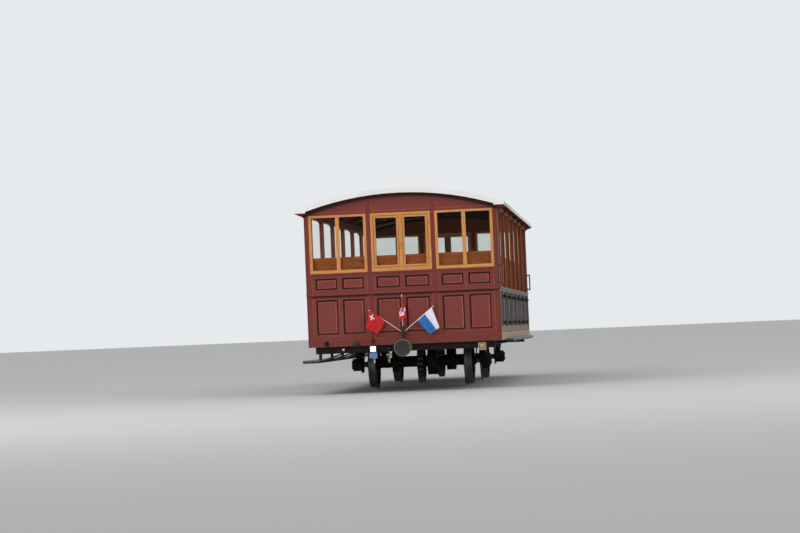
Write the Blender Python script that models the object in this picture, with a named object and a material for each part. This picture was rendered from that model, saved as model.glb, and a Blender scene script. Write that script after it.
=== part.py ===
"""Rack railway passenger coach: a two-axle wooden compartment car that runs on rails.

Metres, +Z up. The glazed end that leads faces -Y, and +X is the right side seen from in front of it.
Heights in the values below are above the rail's top; lift() puts the flange tips on the floor.
"""
import math

import bmesh
import bpy
from mathutils import Matrix, Vector

# Driving dimensions
body_length = 9.0
body_width = 2.817
bay_count = 6
bay_pitch = 1.357
sill_bottom = 0.669
sill_depth = 0.114
lower_field = 0.630
upper_field = 0.325
window_height = 0.8485
eaves_over_window = 0.0885
roof_rise = 0.265
roof_side_overhang = 0.1115
roof_thickness = 0.055
roof_end_overhang = 0.10
wheelbase = 3.8
tread_radius = 0.36
flange_depth = 0.03
wall_thickness = 0.05
side_thickness = 0.06
floor_thickness = 0.045
floor_over_sill = 0.002
touch_gap = 0.0003
cut_overrun = 0.02
round_sides = 24
boss_sides = 16
bar_sides = 6

half_body = body_width / 2
roof_width = body_width + 2 * roof_side_overhang
front_face = -body_length / 2
wall_inside = front_face + wall_thickness
side_inside = half_body - side_thickness
side_end = body_length / 2 - wall_thickness - touch_gap
sill_top = sill_bottom + sill_depth
belt_height = sill_top + lower_field
window_bottom = belt_height + upper_field
window_top = window_bottom + window_height
roof_edge_height = window_top + eaves_over_window
roof_crown = roof_edge_height + roof_rise
floor_bottom = sill_top + floor_over_sill
floor_top = floor_bottom + floor_thickness
flange_radius = tread_radius + flange_depth
post_places = [(index - bay_count / 2) * bay_pitch for index in range(bay_count + 1)]
axle_places = {"front": -wheelbase / 2, "rear": wheelbase / 2}
# The wheels' round faces are flat-sided, with a flat side down
rail_top = flange_radius * math.cos(math.pi / round_sides) - tread_radius

# Finishes: colour, roughness and metallic value
finishes = {
    "red_paint": ((0.165, 0.045, 0.036), 0.35, 0.0),
    "post_paint": ((0.205, 0.055, 0.027), 0.35, 0.0),
    "varnished_wood": ((0.58, 0.25, 0.095), 0.3, 0.0),
    "roof_canvas": ((0.86, 0.84, 0.82), 0.7, 0.0),
    "dark_board": ((0.10, 0.072, 0.052), 0.5, 0.0),
    "bench_wood": ((0.36, 0.19, 0.085), 0.45, 0.0),
    "floor_wood": ((0.20, 0.13, 0.08), 0.8, 0.0),
    "frame_steel": ((0.022, 0.020, 0.020), 0.6, 0.6),
    "wheel_steel": ((0.12, 0.10, 0.09), 0.45, 0.8),
    "glass": ((0.75, 0.82, 0.82), 0.05, 0.0),
    "lamp_metal": ((0.55, 0.57, 0.60), 0.35, 0.6),
    "marker_white": ((0.80, 0.80, 0.78), 0.4, 0.0),
    "hose_yellow": ((0.55, 0.60, 0.10), 0.5, 0.0),
    "red_cloth": ((0.70, 0.03, 0.03), 0.9, 0.0),
    "blue_cloth": ((0.10, 0.30, 0.75), 0.9, 0.0),
}


def clear_scene():
    for old in list(bpy.data.objects):
        bpy.data.objects.remove(old, do_unlink=True)


def finish_material(name):
    if name in bpy.data.materials:
        return bpy.data.materials[name]
    colour, roughness, metallic = finishes[name]
    material = bpy.data.materials.new(name)
    material.use_nodes = True
    shader = material.node_tree.nodes["Principled BSDF"]
    shader.inputs["Base Color"].default_value = (*colour, 1)
    shader.inputs["Roughness"].default_value = roughness
    shader.inputs["Metallic"].default_value = metallic
    return material


# Solids that the pieces are fused from

def solid(shape):
    bmesh.ops.recalc_face_normals(shape, faces=shape.faces)
    mesh = bpy.data.meshes.new("solid")
    shape.to_mesh(mesh)
    shape.free()
    made = bpy.data.objects.new("solid", mesh)
    bpy.context.collection.objects.link(made)
    made.hide_render = True
    made.display_type = "WIRE"
    return made


def block(low, high):
    shape = bmesh.new()
    bmesh.ops.create_cube(shape, size=1)
    for corner in shape.verts:
        corner.co = Vector([a if c < 0 else b for c, a, b in zip(corner.co, low, high)])
    return solid(shape)


def prism(outline, low, high, axis):
    # The outline's pairs are (y, z), (x, z) or (x, y) for a prism along X, Y or Z
    orders = {"X": (2, 0, 1), "Y": (0, 2, 1), "Z": (0, 1, 2)}
    shape = bmesh.new()
    rings = []
    for end in (low, high):
        places = [[(a, b, end)[pick] for pick in orders[axis]] for a, b in outline]
        rings.append([shape.verts.new(place) for place in places])
    for ring in rings:
        shape.faces.new(ring)
    bridge(shape, rings[0], rings[1])
    return solid(shape)


def bridge(shape, first, second):
    count = len(first)
    for index in range(count):
        after = (index + 1) % count
        shape.faces.new((first[index], first[after], second[after], second[index]))


def lathe(profile, centre, axis, sides=round_sides):
    # The profile's pairs are (place along the axis, radius), and both ends are capped
    turn = {"X": lambda a, u, v: (a, u, v), "Y": lambda a, u, v: (u, a, v), "Z": lambda a, u, v: (u, v, a)}
    shape = bmesh.new()
    rings = []
    for along, radius in profile:
        ring = []
        for index in range(sides):
            angle = 2 * math.pi * (index + 0.5) / sides
            spot = turn[axis](along, radius * math.cos(angle), radius * math.sin(angle))
            ring.append(shape.verts.new(Vector(spot) + Vector(centre)))
        rings.append(ring)
    for before, after in zip(rings, rings[1:]):
        bridge(shape, before, after)
    shape.faces.new(rings[0])
    shape.faces.new(rings[-1])
    return solid(shape)


def rod(start, end, radius, sides=bar_sides):
    start, end = Vector(start), Vector(end)
    run = end - start
    shape = bmesh.new()
    place = Matrix.Translation((start + end) / 2) @ run.to_track_quat("Z", "Y").to_matrix().to_4x4()
    bmesh.ops.create_cone(shape, cap_ends=True, segments=sides, radius1=radius, radius2=radius,
                          depth=run.length, matrix=place)
    return solid(shape)


def turned_round(piece):
    # A copy at the other end of the car
    copy = bpy.data.objects.new(piece.name, piece.data.copy())
    copy.data.transform(Matrix.Rotation(math.pi, 4, "Z"))
    bpy.context.collection.objects.link(copy)
    return copy


def mirrored(piece):
    # A copy on the other side of the car
    copy = bpy.data.objects.new(piece.name, piece.data.copy())
    copy.data.transform(Matrix.Scale(-1, 4, (1, 0, 0)))
    copy.data.flip_normals()
    bpy.context.collection.objects.link(copy)
    return copy


def fuse(name, solids, finish, cuts=()):
    body = solids[0]
    steps = [(tool, "UNION") for tool in solids[1:]] + [(tool, "DIFFERENCE") for tool in cuts]
    for tool, operation in steps:
        step = body.modifiers.new("fuse", "BOOLEAN")
        step.operation = operation
        step.object = tool
        step.solver = "EXACT"
    bpy.context.view_layer.update()
    graph = bpy.context.evaluated_depsgraph_get()
    mesh = bpy.data.meshes.new_from_object(body.evaluated_get(graph))
    for tool in [body] + [tool for tool, operation in steps]:
        bpy.data.objects.remove(tool, do_unlink=True)
    mesh.materials.clear()
    mesh.materials.append(finish_material(finish))
    piece = bpy.data.objects.new(name, mesh)
    bpy.context.collection.objects.link(piece)
    return piece


def lift(piece, name, pivot=(0, 0, 0)):
    # The finished piece gets its name, its height over the floor and its origin on its own axis
    pivot = Vector(pivot)
    piece.name = name
    piece.data.name = name
    piece.data.transform(Matrix.Translation(-pivot))
    piece.data.polygons.foreach_set("use_smooth", [True] * len(piece.data.polygons))
    piece.data.set_sharp_from_angle(angle=math.radians(30))
    piece.location = pivot + Vector((0, 0, rail_top))
    return piece


# The roof's arc, which the walls below it follow

roof_steps = 16
roof_radius = ((roof_width / 2) ** 2 + roof_rise ** 2) / (2 * roof_rise)
roof_xs = [(index / roof_steps - 1 / 2) * roof_width for index in range(roof_steps + 1)]
carline = {"depth": 0.045, "width": 0.05, "side_gap": 0.072}
end_board = {"thickness": 0.035, "height": 0.074, "lip": 0.002, "corner_inset": 0.036}


def roof_arc(x, radius):
    return roof_crown - roof_radius + math.sqrt(radius ** 2 - x ** 2)


def roof_under(x):
    # Height of the roof's flat-sided underside at x
    radius = roof_radius - roof_thickness
    for before, after in zip(roof_xs, roof_xs[1:]):
        if before <= x <= after:
            share = (x - before) / (after - before)
            return roof_arc(before, radius) * (1 - share) + roof_arc(after, radius) * share
    return roof_arc(x, radius)


def under_roof_points(low_x, high_x, drop=touch_gap):
    xs = [low_x] + [x for x in roof_xs if low_x < x < high_x] + [high_x]
    return [(x, roof_under(x) - drop) for x in xs]


def end_board_outline():
    # The board round each end of the roof, with a level block at both eaves
    lip, corner = end_board["lip"], half_body - end_board["corner_inset"]
    side, low = roof_width / 2 + lip, roof_arc(roof_width / 2, roof_radius - roof_thickness) - lip
    top = [(x, roof_arc(x, roof_radius) + lip) for x in roof_xs[1:-1]]
    eave = roof_arc(roof_width / 2, roof_radius) + lip
    inner = [x for x in roof_xs if abs(x) < corner]
    arch = [(x, roof_arc(x, roof_radius - end_board["height"]))
            for x in [corner] + inner[::-1] + [-corner]]
    eaves = [(side, eave), (side, low), (corner, low)]
    return [(-side, low), (-side, eave)] + top + eaves + arch + [(-corner, low)]


def make_roof():
    top = [(x, roof_arc(x, roof_radius)) for x in roof_xs]
    under = [(x, roof_arc(x, roof_radius - roof_thickness)) for x in reversed(roof_xs)]
    reach = body_length / 2 + roof_end_overhang
    shell = prism(top + under, -reach, reach, "Y")
    half = side_inside - carline["side_gap"]
    low = under_roof_points(-half, half, carline["depth"])
    high = [(x, z + carline["depth"] + roof_thickness / 2) for x, z in reversed(low)]
    ribs = [prism(low + high, y - carline["width"] / 2, y + carline["width"] / 2, "Y")
            for y in post_places]
    thickness = end_board["thickness"]
    boards = [prism(end_board_outline(), low_y, low_y + thickness, "Y")
              for low_y in (-reach - end_board["lip"], reach + end_board["lip"] - thickness)]
    lift(fuse("roof", [shell] + ribs + boards, "roof_canvas"), "roof")


# End walls: pilasters, belt, sill, a framed fascia, sunk panel mouldings and three windows

end_window = {"corner_post": 0.066, "post": 0.062, "side_width": 0.842, "proud": 0.010, "depth": 0.045,
              "sash_rim": 0.034, "sash_step": 0.006, "sash_gap": 0.007, "gap_depth": 0.014}
window_bars = {"stile": 0.041, "mullion": 0.056, "bottom_rail": 0.046, "top_rail": 0.034}
casement_bars = {"stile": 0.075, "mullion": 0.117, "bottom_rail": 0.088, "top_rail": 0.073}
panel = {"groove": 0.019, "slope": 0.017, "depth": 0.012, "field_sink": 0.002}
panel_rows = {"small_low": 0.089, "small_height": 0.165, "tall_low": 0.068, "tall_height": 0.5015,
              "side_margin": 0.068, "side_gap": 0.073, "centre_margin": 0.055, "centre_gap": 0.077}
trim = {"pilaster_proud": 0.012, "sill_proud": 0.018, "belt_proud": 0.028, "belt_height": 0.030,
        "reveal": 0.004, "window_rail": 0.03, "fascia_rail": 0.026, "fascia_arch": 0.034}
pane = {"thickness": 0.005, "rebate": 0.008}
belt_top = belt_height + trim["belt_height"]


def window_spans():
    # The three windows of an end wall, as (name, low x, high x)
    outer = half_body - end_window["corner_post"]
    inner = outer - end_window["side_width"]
    centre = inner - end_window["post"]
    return [("left", -outer, -inner), ("centre", -centre, centre), ("right", inner, outer)]


def wall_recesses():
    # The fields below the windows and the fascia's above them lie behind the pilasters' face
    face = front_face - trim["pilaster_proud"] - cut_overrun
    cuts = []
    for name, low, high in window_spans():
        low, high = low + trim["reveal"], high - trim["reveal"]
        cuts.append(block((low, face, sill_top - trim["reveal"]),
                          (high, front_face, window_bottom - trim["window_rail"])))
        bottom = window_top + trim["fascia_rail"]
        arch = list(reversed(under_roof_points(low, high, trim["fascia_arch"])))
        cuts.append(prism([(low, bottom), (high, bottom)] + arch, face, front_face, "Y"))
    return cuts


def wall_rails():
    # The sill and the belt stand proud of the pilasters
    deep = front_face + wall_thickness / 2
    sill = block((-half_body, front_face - trim["sill_proud"], sill_bottom), (half_body, deep, sill_top))
    belt = block((-half_body, front_face - trim["belt_proud"], belt_height), (half_body, deep, belt_top))
    return [sill, belt]


def panel_spans():
    # Two panels under each window, as (low x, high x)
    spans = []
    for name, low, high in window_spans():
        kind = "centre" if name == "centre" else "side"
        low, high = low + panel_rows[kind + "_margin"], high - panel_rows[kind + "_margin"]
        middle, half_gap = (low + high) / 2, panel_rows[kind + "_gap"] / 2
        spans += [(low, middle - half_gap), (middle + half_gap, high)]
    return spans


def moulding_ring(low_x, high_x, low_z, high_z):
    # A closed ring that cuts the sunk moulding and leaves the panel's raised field
    inner = panel["groove"] + panel["slope"]
    steps = [(0, -cut_overrun), (0, panel["depth"]), (panel["groove"], panel["depth"]),
             (inner, panel["field_sink"]), (inner, -cut_overrun)]
    shape = bmesh.new()
    rings = []
    for inset, depth in steps:
        y = front_face + depth
        corners = [(low_x + inset, y, low_z + inset), (high_x - inset, y, low_z + inset),
                   (high_x - inset, y, high_z - inset), (low_x + inset, y, high_z - inset)]
        rings.append([shape.verts.new(corner) for corner in corners])
    for before, after in zip(rings, rings[1:] + rings[:1]):
        bridge(shape, before, after)
    return solid(shape)


def make_end_walls():
    outline = [(-half_body, sill_bottom + touch_gap)] + under_roof_points(-half_body, half_body)
    outline.append((half_body, sill_bottom + touch_gap))
    wall = prism(outline, front_face - trim["pilaster_proud"], wall_inside, "Y")
    wall = fuse("wall", [wall], "red_paint", wall_recesses())
    cuts = [block((low, front_face - cut_overrun, window_bottom),
                  (high, wall_inside + cut_overrun, window_top))
            for name, low, high in window_spans()]
    small_low = belt_top + panel_rows["small_low"] - trim["belt_height"]
    tall_low = sill_top + panel_rows["tall_low"]
    for low, high in panel_spans():
        cuts.append(moulding_ring(low, high, small_low, small_low + panel_rows["small_height"]))
        cuts.append(moulding_ring(low, high, tall_low, tall_low + panel_rows["tall_height"]))
    front = fuse("end_wall", [wall] + wall_rails(), "red_paint", cuts)
    rear = turned_round(front)
    lift(front, "end_wall_front")
    lift(rear, "end_wall_rear")


def pane_openings(bars, low, high):
    middle = (low + high) / 2
    return [(low + bars["stile"], middle - bars["mullion"] / 2),
            (middle + bars["mullion"] / 2, high - bars["stile"])]


def sash_pockets(openings, face, low_z, high_z):
    # The centre window's two casements sit a step behind its outer frame, with a gap all round
    rim, gap = end_window["sash_rim"], end_window["sash_gap"]
    cuts = []
    for left, right in openings:
        cuts.append(block((left - rim, face - cut_overrun, low_z - rim),
                          (right + rim, face + end_window["sash_step"], high_z + rim)))
        deep = face + end_window["gap_depth"]
        for low, high in (((left - rim, low_z - rim), (left - rim + gap, high_z + rim)),
                          ((right + rim - gap, low_z - rim), (right + rim, high_z + rim)),
                          ((left - rim, low_z - rim), (right + rim, low_z - rim + gap)),
                          ((left - rim, high_z + rim - gap), (right + rim, high_z + rim))):
            cuts.append(block((low[0], face - cut_overrun, low[1]), (high[0], deep, high[1])))
    return cuts


def make_window(name, low, high):
    face = front_face - end_window["proud"]
    back = face + end_window["depth"]
    frame = block((low + touch_gap, face, window_bottom + touch_gap),
                  (high - touch_gap, back, window_top - touch_gap))
    bars = casement_bars if name == "centre" else window_bars
    glass_low, glass_high = window_bottom + bars["bottom_rail"], window_top - bars["top_rail"]
    openings = pane_openings(bars, low, high)
    cuts = [block((left, face - cut_overrun, glass_low), (right, back + cut_overrun, glass_high))
            for left, right in openings]
    middle = (face + back) / 2
    rebate = pane["rebate"]
    seat_low = (openings[0][0] - rebate, middle, glass_low - rebate)
    seat_high = (openings[1][1] + rebate, back + cut_overrun, glass_high + rebate)
    cuts.append(block(seat_low, seat_high))
    if name == "centre":
        cuts += sash_pockets(openings, face, glass_low, glass_high)
    frame = fuse("window_frame", [frame], "varnished_wood", cuts)
    glass = block((seat_low[0] + touch_gap, middle + touch_gap, seat_low[2] + touch_gap),
                  (seat_high[0] - touch_gap, middle + pane["thickness"], seat_high[2] - touch_gap))
    glass = fuse("window_pane", [glass], "glass")
    for piece, kind in ((frame, "window_frame"), (glass, "window_pane")):
        rear = turned_round(piece)
        lift(piece, kind + "_front_" + name)
        lift(rear, kind + "_rear_" + name)


# Side frames: sill, posts, cant rail, eave brackets and boarded fields beside the doors

side = {"post_width": 0.075, "stud_width": 0.045, "cant_depth": 0.10, "waist_depth": 0.06,
        "board_thickness": 0.026, "board_sink": 0.008, "waist_proud": 0.014, "waist_bead": 0.026,
        "eave_bead": 0.026, "eave_proud": 0.018, "eave_drop": 0.024}
bracket = {"width": 0.045, "roof_gap": 0.02, "under_roof": 0.001, "root": 0.012, "drop": 0.125, "tip": 0.022,
           "steps": 3}
groove = {"width": 0.010, "depth": 0.007, "pitch": 0.14}
grab_rail = {"radius": 0.011, "out": 0.045, "low": 0.055, "length": 0.27, "from_end": 0.036}
door = {"width": 0.56, "gap": 0.006, "thickness": 0.034, "axis_out": 0.026, "barrel": 0.008,
        "strap_height": 0.04, "strap_length": 0.20, "strap_from_end": 0.13, "strap_proud": 0.006,
        "floor_gap": 0.008, "waist_inset": 0.004, "handle_radius": 0.009, "handle_out": 0.045,
        "handle_drop": 0.14, "handle_length": 0.09, "handle_from_edge": 0.06}


def bay_centres():
    return [(before + after) / 2 for before, after in zip(post_places, post_places[1:])]


def door_span(centre):
    return centre - door["width"] / 2, centre + door["width"] / 2


def vertical_grooves(low, high, face, bottom, top):
    # V-grooves between the boards of one field, joined in one cutter
    count = round((high - low) / groove["pitch"])
    cutters = []
    for index in range(1, count):
        y = low + (high - low) * index / count
        half = groove["width"] / 2
        outline = [(face + half, y - 2 * half), (face + half, y + 2 * half), (face - groove["depth"], y)]
        cutters.append(prism(outline, bottom, top, "Z"))
    return cutters


def side_timbers():
    solids = [block((side_inside, -side_end, sill_bottom), (half_body, side_end, sill_top))]
    cant_low = roof_under(side_inside) - side["cant_depth"]
    cant = [(side_inside, cant_low)] + under_roof_points(side_inside, half_body) + [(half_body, cant_low)]
    solids.append(prism(cant, -side_end, side_end, "Y"))
    sill_middle = (sill_bottom + sill_top) / 2
    half_post = side["post_width"] / 2
    for y in [half_post - side_end] + post_places + [side_end - half_post]:
        solids.append(block((side_inside + touch_gap, y - half_post, sill_middle),
                            (half_body - touch_gap, y + half_post, cant_low + side["cant_depth"] / 2)))
    eave_top = window_top + side["eave_drop"]
    solids.append(block((half_body - side["eave_proud"], -side_end, eave_top - side["eave_bead"]),
                        (half_body + side["eave_proud"], side_end, eave_top)))
    return solids


def eave_bracket(y):
    # A curved corbel from the post out under the overhanging roof
    inner, outer = half_body - bracket["root"], roof_width / 2 - bracket["roof_gap"]
    top = list(reversed(under_roof_points(inner, outer, bracket["under_roof"])))
    low_z = roof_under(half_body) - bracket["drop"]
    tip_z = top[0][1] - bracket["tip"]
    curve = []
    for step in range(bracket["steps"] + 1):
        angle = math.pi / 2 * step / bracket["steps"]
        x = outer - (outer - half_body) * math.sin(angle)
        z = low_z + (tip_z - low_z) * math.cos(angle)
        curve.append((x, z))
    outline = top[::-1] + [(outer, tip_z)] + curve[1:] + [(inner, low_z)]
    return prism(outline, y - bracket["width"] / 2, y + bracket["width"] / 2, "Y")


def eave_brackets():
    end = side_end - bracket["width"] / 2 - touch_gap
    return [eave_bracket(y) for y in [-end] + post_places + [end]]


def field_spans():
    # Boarded fields run from the ends to the studs beside each door
    edges = [-side_end]
    for centre in bay_centres():
        low, high = door_span(centre)
        edges += [low - door["gap"], high + door["gap"]]
    edges.append(side_end)
    return list(zip(edges[::2], edges[1::2]))


def field_solids(low, high):
    face = half_body - side["board_sink"]
    sill_middle = (sill_bottom + sill_top) / 2
    waist_middle = belt_top - side["waist_depth"] / 2
    stud = side["stud_width"]
    solids = [block((face - side["board_thickness"], low + stud / 2, sill_middle),
                    (face, high - stud / 2, waist_middle)),
              block((side_inside + touch_gap, low, belt_top - side["waist_depth"]),
                    (half_body - touch_gap, high, belt_top)),
              block((half_body - side["waist_proud"], low, belt_top - side["waist_bead"]),
                    (half_body + side["waist_proud"], high, belt_top + touch_gap))]
    for y, way, outer in ((low, 1, -side_end), (high, -1, side_end)):
        if y != outer:
            near, far = sorted((y, y + way * stud))
            solids.append(block((side_inside + touch_gap, near, sill_middle),
                                (half_body - touch_gap, far, waist_middle)))
    return solids


def field_grooves():
    cutters = []
    bottom, top = sill_top + touch_gap, belt_top - side["waist_depth"] - touch_gap
    for low, high in field_spans():
        stops = [low + side["stud_width"]] + [edge for y in post_places if low < y < high
                 for edge in (y - side["post_width"] / 2, y + side["post_width"] / 2)]
        stops.append(high - side["stud_width"])
        for start, end in zip(stops[::2], stops[1::2]):
            cutters += vertical_grooves(start, end, half_body - side["board_sink"], bottom, top)
    return cutters


def grab_rails():
    low = belt_top + grab_rail["low"]
    solids = []
    for way in (-1, 1):
        y = way * (side_end - grab_rail["from_end"])
        x = half_body + grab_rail["out"]
        reach = grab_rail["radius"]
        solids.append(rod((x, y, low - reach), (x, y, low + grab_rail["length"] + reach),
                          grab_rail["radius"]))
        for z in (low + reach, low + grab_rail["length"] - reach):
            solids.append(rod((half_body - side_thickness / 2, y, z), (x, y, z), grab_rail["radius"]))
    return solids


def make_sides():
    solids = side_timbers() + eave_brackets()
    for low, high in field_spans():
        solids += field_solids(low, high)
    plain = fuse("side_frame", solids, "post_paint", field_grooves())
    left = mirrored(plain)
    right = fuse("side_frame", [plain] + grab_rails(), "post_paint")
    lift(right, "side_frame_right")
    lift(left, "side_frame_left")


def door_hinges(low, bottom):
    # Strap hinges with their barrels on the pivot's line, in front of the leaf
    hinge_x, hinge_y = half_body + door["axis_out"], low - door["gap"] / 2
    half, barrel = door["strap_height"] / 2, door["barrel"]
    solids = []
    for z in (bottom + door["strap_from_end"], belt_top - door["strap_from_end"]):
        back, proud = half_body - door["thickness"] / 2, half_body + door["strap_proud"]
        near, far = low + 2 * door["gap"], low + door["strap_length"]
        inner, outer = hinge_x - barrel / 2, hinge_x + barrel / 2
        outline = [(back, near), (back, far), (proud, far), (proud, near + 2 * barrel), (outer, near),
                   (outer, hinge_y), (inner, hinge_y), (inner, near)]
        solids.append(prism(outline, z - half, z + half, "Z"))
        solids.append(rod((hinge_x, hinge_y, z - 2 * half), (hinge_x, hinge_y, z + 2 * half), barrel))
    return solids, (hinge_x, hinge_y, 0)


def door_handle(high):
    x, y = half_body + door["handle_out"], high - door["handle_from_edge"]
    z = belt_top - door["handle_drop"]
    radius = door["handle_radius"]
    shank = rod((half_body - door["thickness"] / 2, y, z), (x, y, z), radius)
    lever = rod((x, y + radius, z), (x, y - door["handle_length"], z), radius)
    return [shank, lever]


def make_doors():
    for index, centre in enumerate(bay_centres()):
        low, high = door_span(centre)
        bottom = sill_top + door["floor_gap"]
        face = half_body - side["board_sink"]
        leaf = block((half_body - door["thickness"], low, bottom), (face, high, belt_top))
        rail = block((face - door["thickness"] / 2, low, belt_top - side["waist_depth"]),
                     (half_body, high, belt_top - touch_gap))
        bead = block((face - door["thickness"] / 2, low + door["waist_inset"], belt_top - side["waist_bead"]),
                     (half_body + side["waist_proud"], high - door["waist_inset"], belt_top - 2 * touch_gap))
        straps, pivot = door_hinges(low, bottom)
        cutters = vertical_grooves(low, high, face, bottom - cut_overrun, belt_top + cut_overrun)
        leaf = fuse("leaf", [leaf], "dark_board", cutters)
        right = fuse("door", [leaf, rail, bead] + straps + door_handle(high), "dark_board")
        left = mirrored(right)
        label = str(index + 1)
        lift(right, "door_right_" + label, pivot)
        lift(left, "door_left_" + label, (-pivot[0], pivot[1], pivot[2]))


# Floor and benches

bench = {"seat_height": 0.45, "seat_depth": 0.42, "seat_thickness": 0.03, "back_height": 1.14,
         "back_thickness": 0.035, "side_gap": 0.012, "front_board": 0.025, "toe_space": 0.10, "runner": 0.03,
         "cap_height": 0.05, "cap_depth": 0.06, "slats": 4, "slat_gap": 0.012, "slat_cut": 0.012,
         "back_boards": 3, "back_cut": 0.006}


def make_floor():
    half = side_inside - touch_gap
    slab = block((-half, -side_end, floor_bottom), (half, side_end, floor_top))
    lift(fuse("floor", [slab], "floor_wood"), "floor")


def bench_rows():
    # Each back's place, with the ways its seats face
    end_back = wall_inside + touch_gap + bench["cap_depth"] / 2
    middle = [(y, (-1, 1)) for y in post_places[1:-1]]
    return [(end_back, (1,))] + middle + [(-end_back, (-1,))]


def seat_solids(y, way):
    half = side_inside - bench["side_gap"]
    base = floor_top + touch_gap
    seat = base + bench["seat_height"]
    edge = y + way * (bench["back_thickness"] / 2 + bench["seat_depth"])
    low, high = sorted((y, edge))
    board = block((-half, low, seat - bench["seat_thickness"]), (half, high, seat))
    toe = edge - way * bench["toe_space"]
    low, high = sorted((toe, toe - way * bench["front_board"]))
    return [board, block((-half, low, base), (half, high, seat - bench["seat_thickness"] / 2))]


def seat_grooves(y, way):
    # Gaps between the seat's slats and between the back's boards
    half = side_inside
    base = floor_top + touch_gap
    seat = base + bench["seat_height"]
    start = y + way * bench["back_thickness"] / 2
    cutters = []
    for index in range(1, bench["slats"]):
        middle = start + way * bench["seat_depth"] * index / bench["slats"]
        cutters.append(block((-half, middle - bench["slat_gap"] / 2, seat - bench["slat_cut"]),
                             (half, middle + bench["slat_gap"] / 2, seat + cut_overrun)))
    rise = bench["back_height"] - bench["seat_height"] - bench["cap_height"]
    near, far = sorted((start - way * bench["back_cut"], start + way * cut_overrun))
    for index in range(1, bench["back_boards"]):
        middle = seat + rise * index / bench["back_boards"]
        cutters.append(block((-half, near, middle - bench["slat_gap"] / 2),
                             (half, far, middle + bench["slat_gap"] / 2)))
    return cutters


def make_benches():
    half = side_inside - bench["side_gap"]
    base = floor_top + touch_gap
    rows = bench_rows()
    solids, cutters = [], []
    for way in (-1, 1):
        low, high = sorted((way * half, way * (half - bench["runner"])))
        solids.append(block((low, rows[0][0], base), (high, rows[-1][0], base + bench["runner"])))
    top = base + bench["back_height"]
    for y, ways in rows:
        solids.append(block((-half, y - bench["back_thickness"] / 2, base),
                            (half, y + bench["back_thickness"] / 2, top - bench["cap_height"] / 2)))
        solids.append(block((-half, y - bench["cap_depth"] / 2, top - bench["cap_height"]),
                            (half, y + bench["cap_depth"] / 2, top)))
        for way in ways:
            solids += seat_solids(y, way)
            cutters += seat_grooves(y, way)
    lift(fuse("benches", solids, "bench_wood", cutters), "benches")


# Running gear below the floor

sole_bar = {"inner": 0.93, "width": 0.085, "bottom": 0.57, "web": 0.014, "flange": 0.016,
            "outrigger_height": 0.07, "outrigger_width": 0.06}
headstock = {"side_inset": 0.0985, "set_back": 0.02, "depth": 0.10, "knob_x": -0.90, "knob_radius": 0.017,
             "knob_out": 0.035}
bearer = {"width": 0.09, "height": 0.15, "flange": 0.018, "web": 0.02, "beyond_axle": 1.0}
bearer_outer = wheelbase / 2 + bearer["beyond_axle"]
bearer_places = {"front": -bearer_outer, "middle": 0, "rear": bearer_outer}
headstock_back = front_face + headstock["set_back"] + headstock["depth"]
headstock_half = half_body - headstock["side_inset"]


def make_sole_bars():
    inner, outer = sole_bar["inner"], sole_bar["inner"] + sole_bar["width"]
    low, high = sole_bar["bottom"], floor_bottom - touch_gap
    web, flange = sole_bar["web"], sole_bar["flange"]
    outline = [(inner, low), (outer, low), (outer, low + flange), (inner + web, low + flange),
               (inner + web, high - flange), (outer, high - flange), (outer, high), (inner, high)]
    end = -headstock_back - touch_gap
    solids = [prism(outline, -end, end, "Y")]
    half = sole_bar["outrigger_width"] / 2
    for y in post_places:
        solids.append(block((inner + web / 2, y - half, high - sole_bar["outrigger_height"]),
                            (side_inside - touch_gap, y + half, high - flange / 2)))
    right = fuse("sole_bar", solids, "frame_steel")
    left = mirrored(right)
    lift(right, "sole_bar_right")
    lift(left, "sole_bar_left")


def make_bearers():
    half = sole_bar["inner"] - touch_gap
    high = floor_bottom - touch_gap
    low, width = high - bearer["height"], bearer["width"] / 2
    web, flange = bearer["web"] / 2, bearer["flange"]
    outline = [(-width, low), (width, low), (width, low + flange), (web, low + flange), (web, high - flange),
               (width, high - flange), (width, high), (-width, high), (-width, high - flange),
               (-web, high - flange), (-web, low + flange), (-width, low + flange)]
    for name, y in bearer_places.items():
        beam = prism([(y + across, z) for across, z in outline], -half, half, "X")
        lift(fuse("bearer", [beam], "frame_steel"), "cross_bearer_" + name)


def make_headstocks():
    face = front_face + headstock["set_back"]
    beam = block((-headstock_half, face, sole_bar["bottom"]),
                 (headstock_half, headstock_back, sill_bottom - touch_gap))
    plain = fuse("headstock", [beam], "frame_steel")
    rear = turned_round(plain)
    middle = (sole_bar["bottom"] + sill_bottom) / 2
    knob = lathe([(face - headstock["knob_out"], headstock["knob_radius"]),
                  (face + headstock["depth"] / 2, headstock["knob_radius"])],
                 (headstock["knob_x"], 0, middle), "Y", boss_sides)
    front = fuse("headstock", [plain, knob], "frame_steel")
    lift(front, "headstock_front")
    lift(rear, "headstock_rear")


wheel = {"back_to_back": 1.36, "width": 0.125, "flange_width": 0.032, "rim": 0.055, "web": 0.026,
         "hub_radius": 0.10, "hub_width": 0.16, "web_dish": 0.02}
axle = {"radius": 0.065, "journal": 0.042, "collar": 0.026}
cog = {"teeth": 22, "tip": 0.31, "root": 0.27, "width": 0.10, "flank_share": 0.62, "land_share": 0.28}
drum = {"radius": 0.20, "width": 0.15, "gap": 0.05}
journal_end = sole_bar["inner"] + sole_bar["width"]


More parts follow.
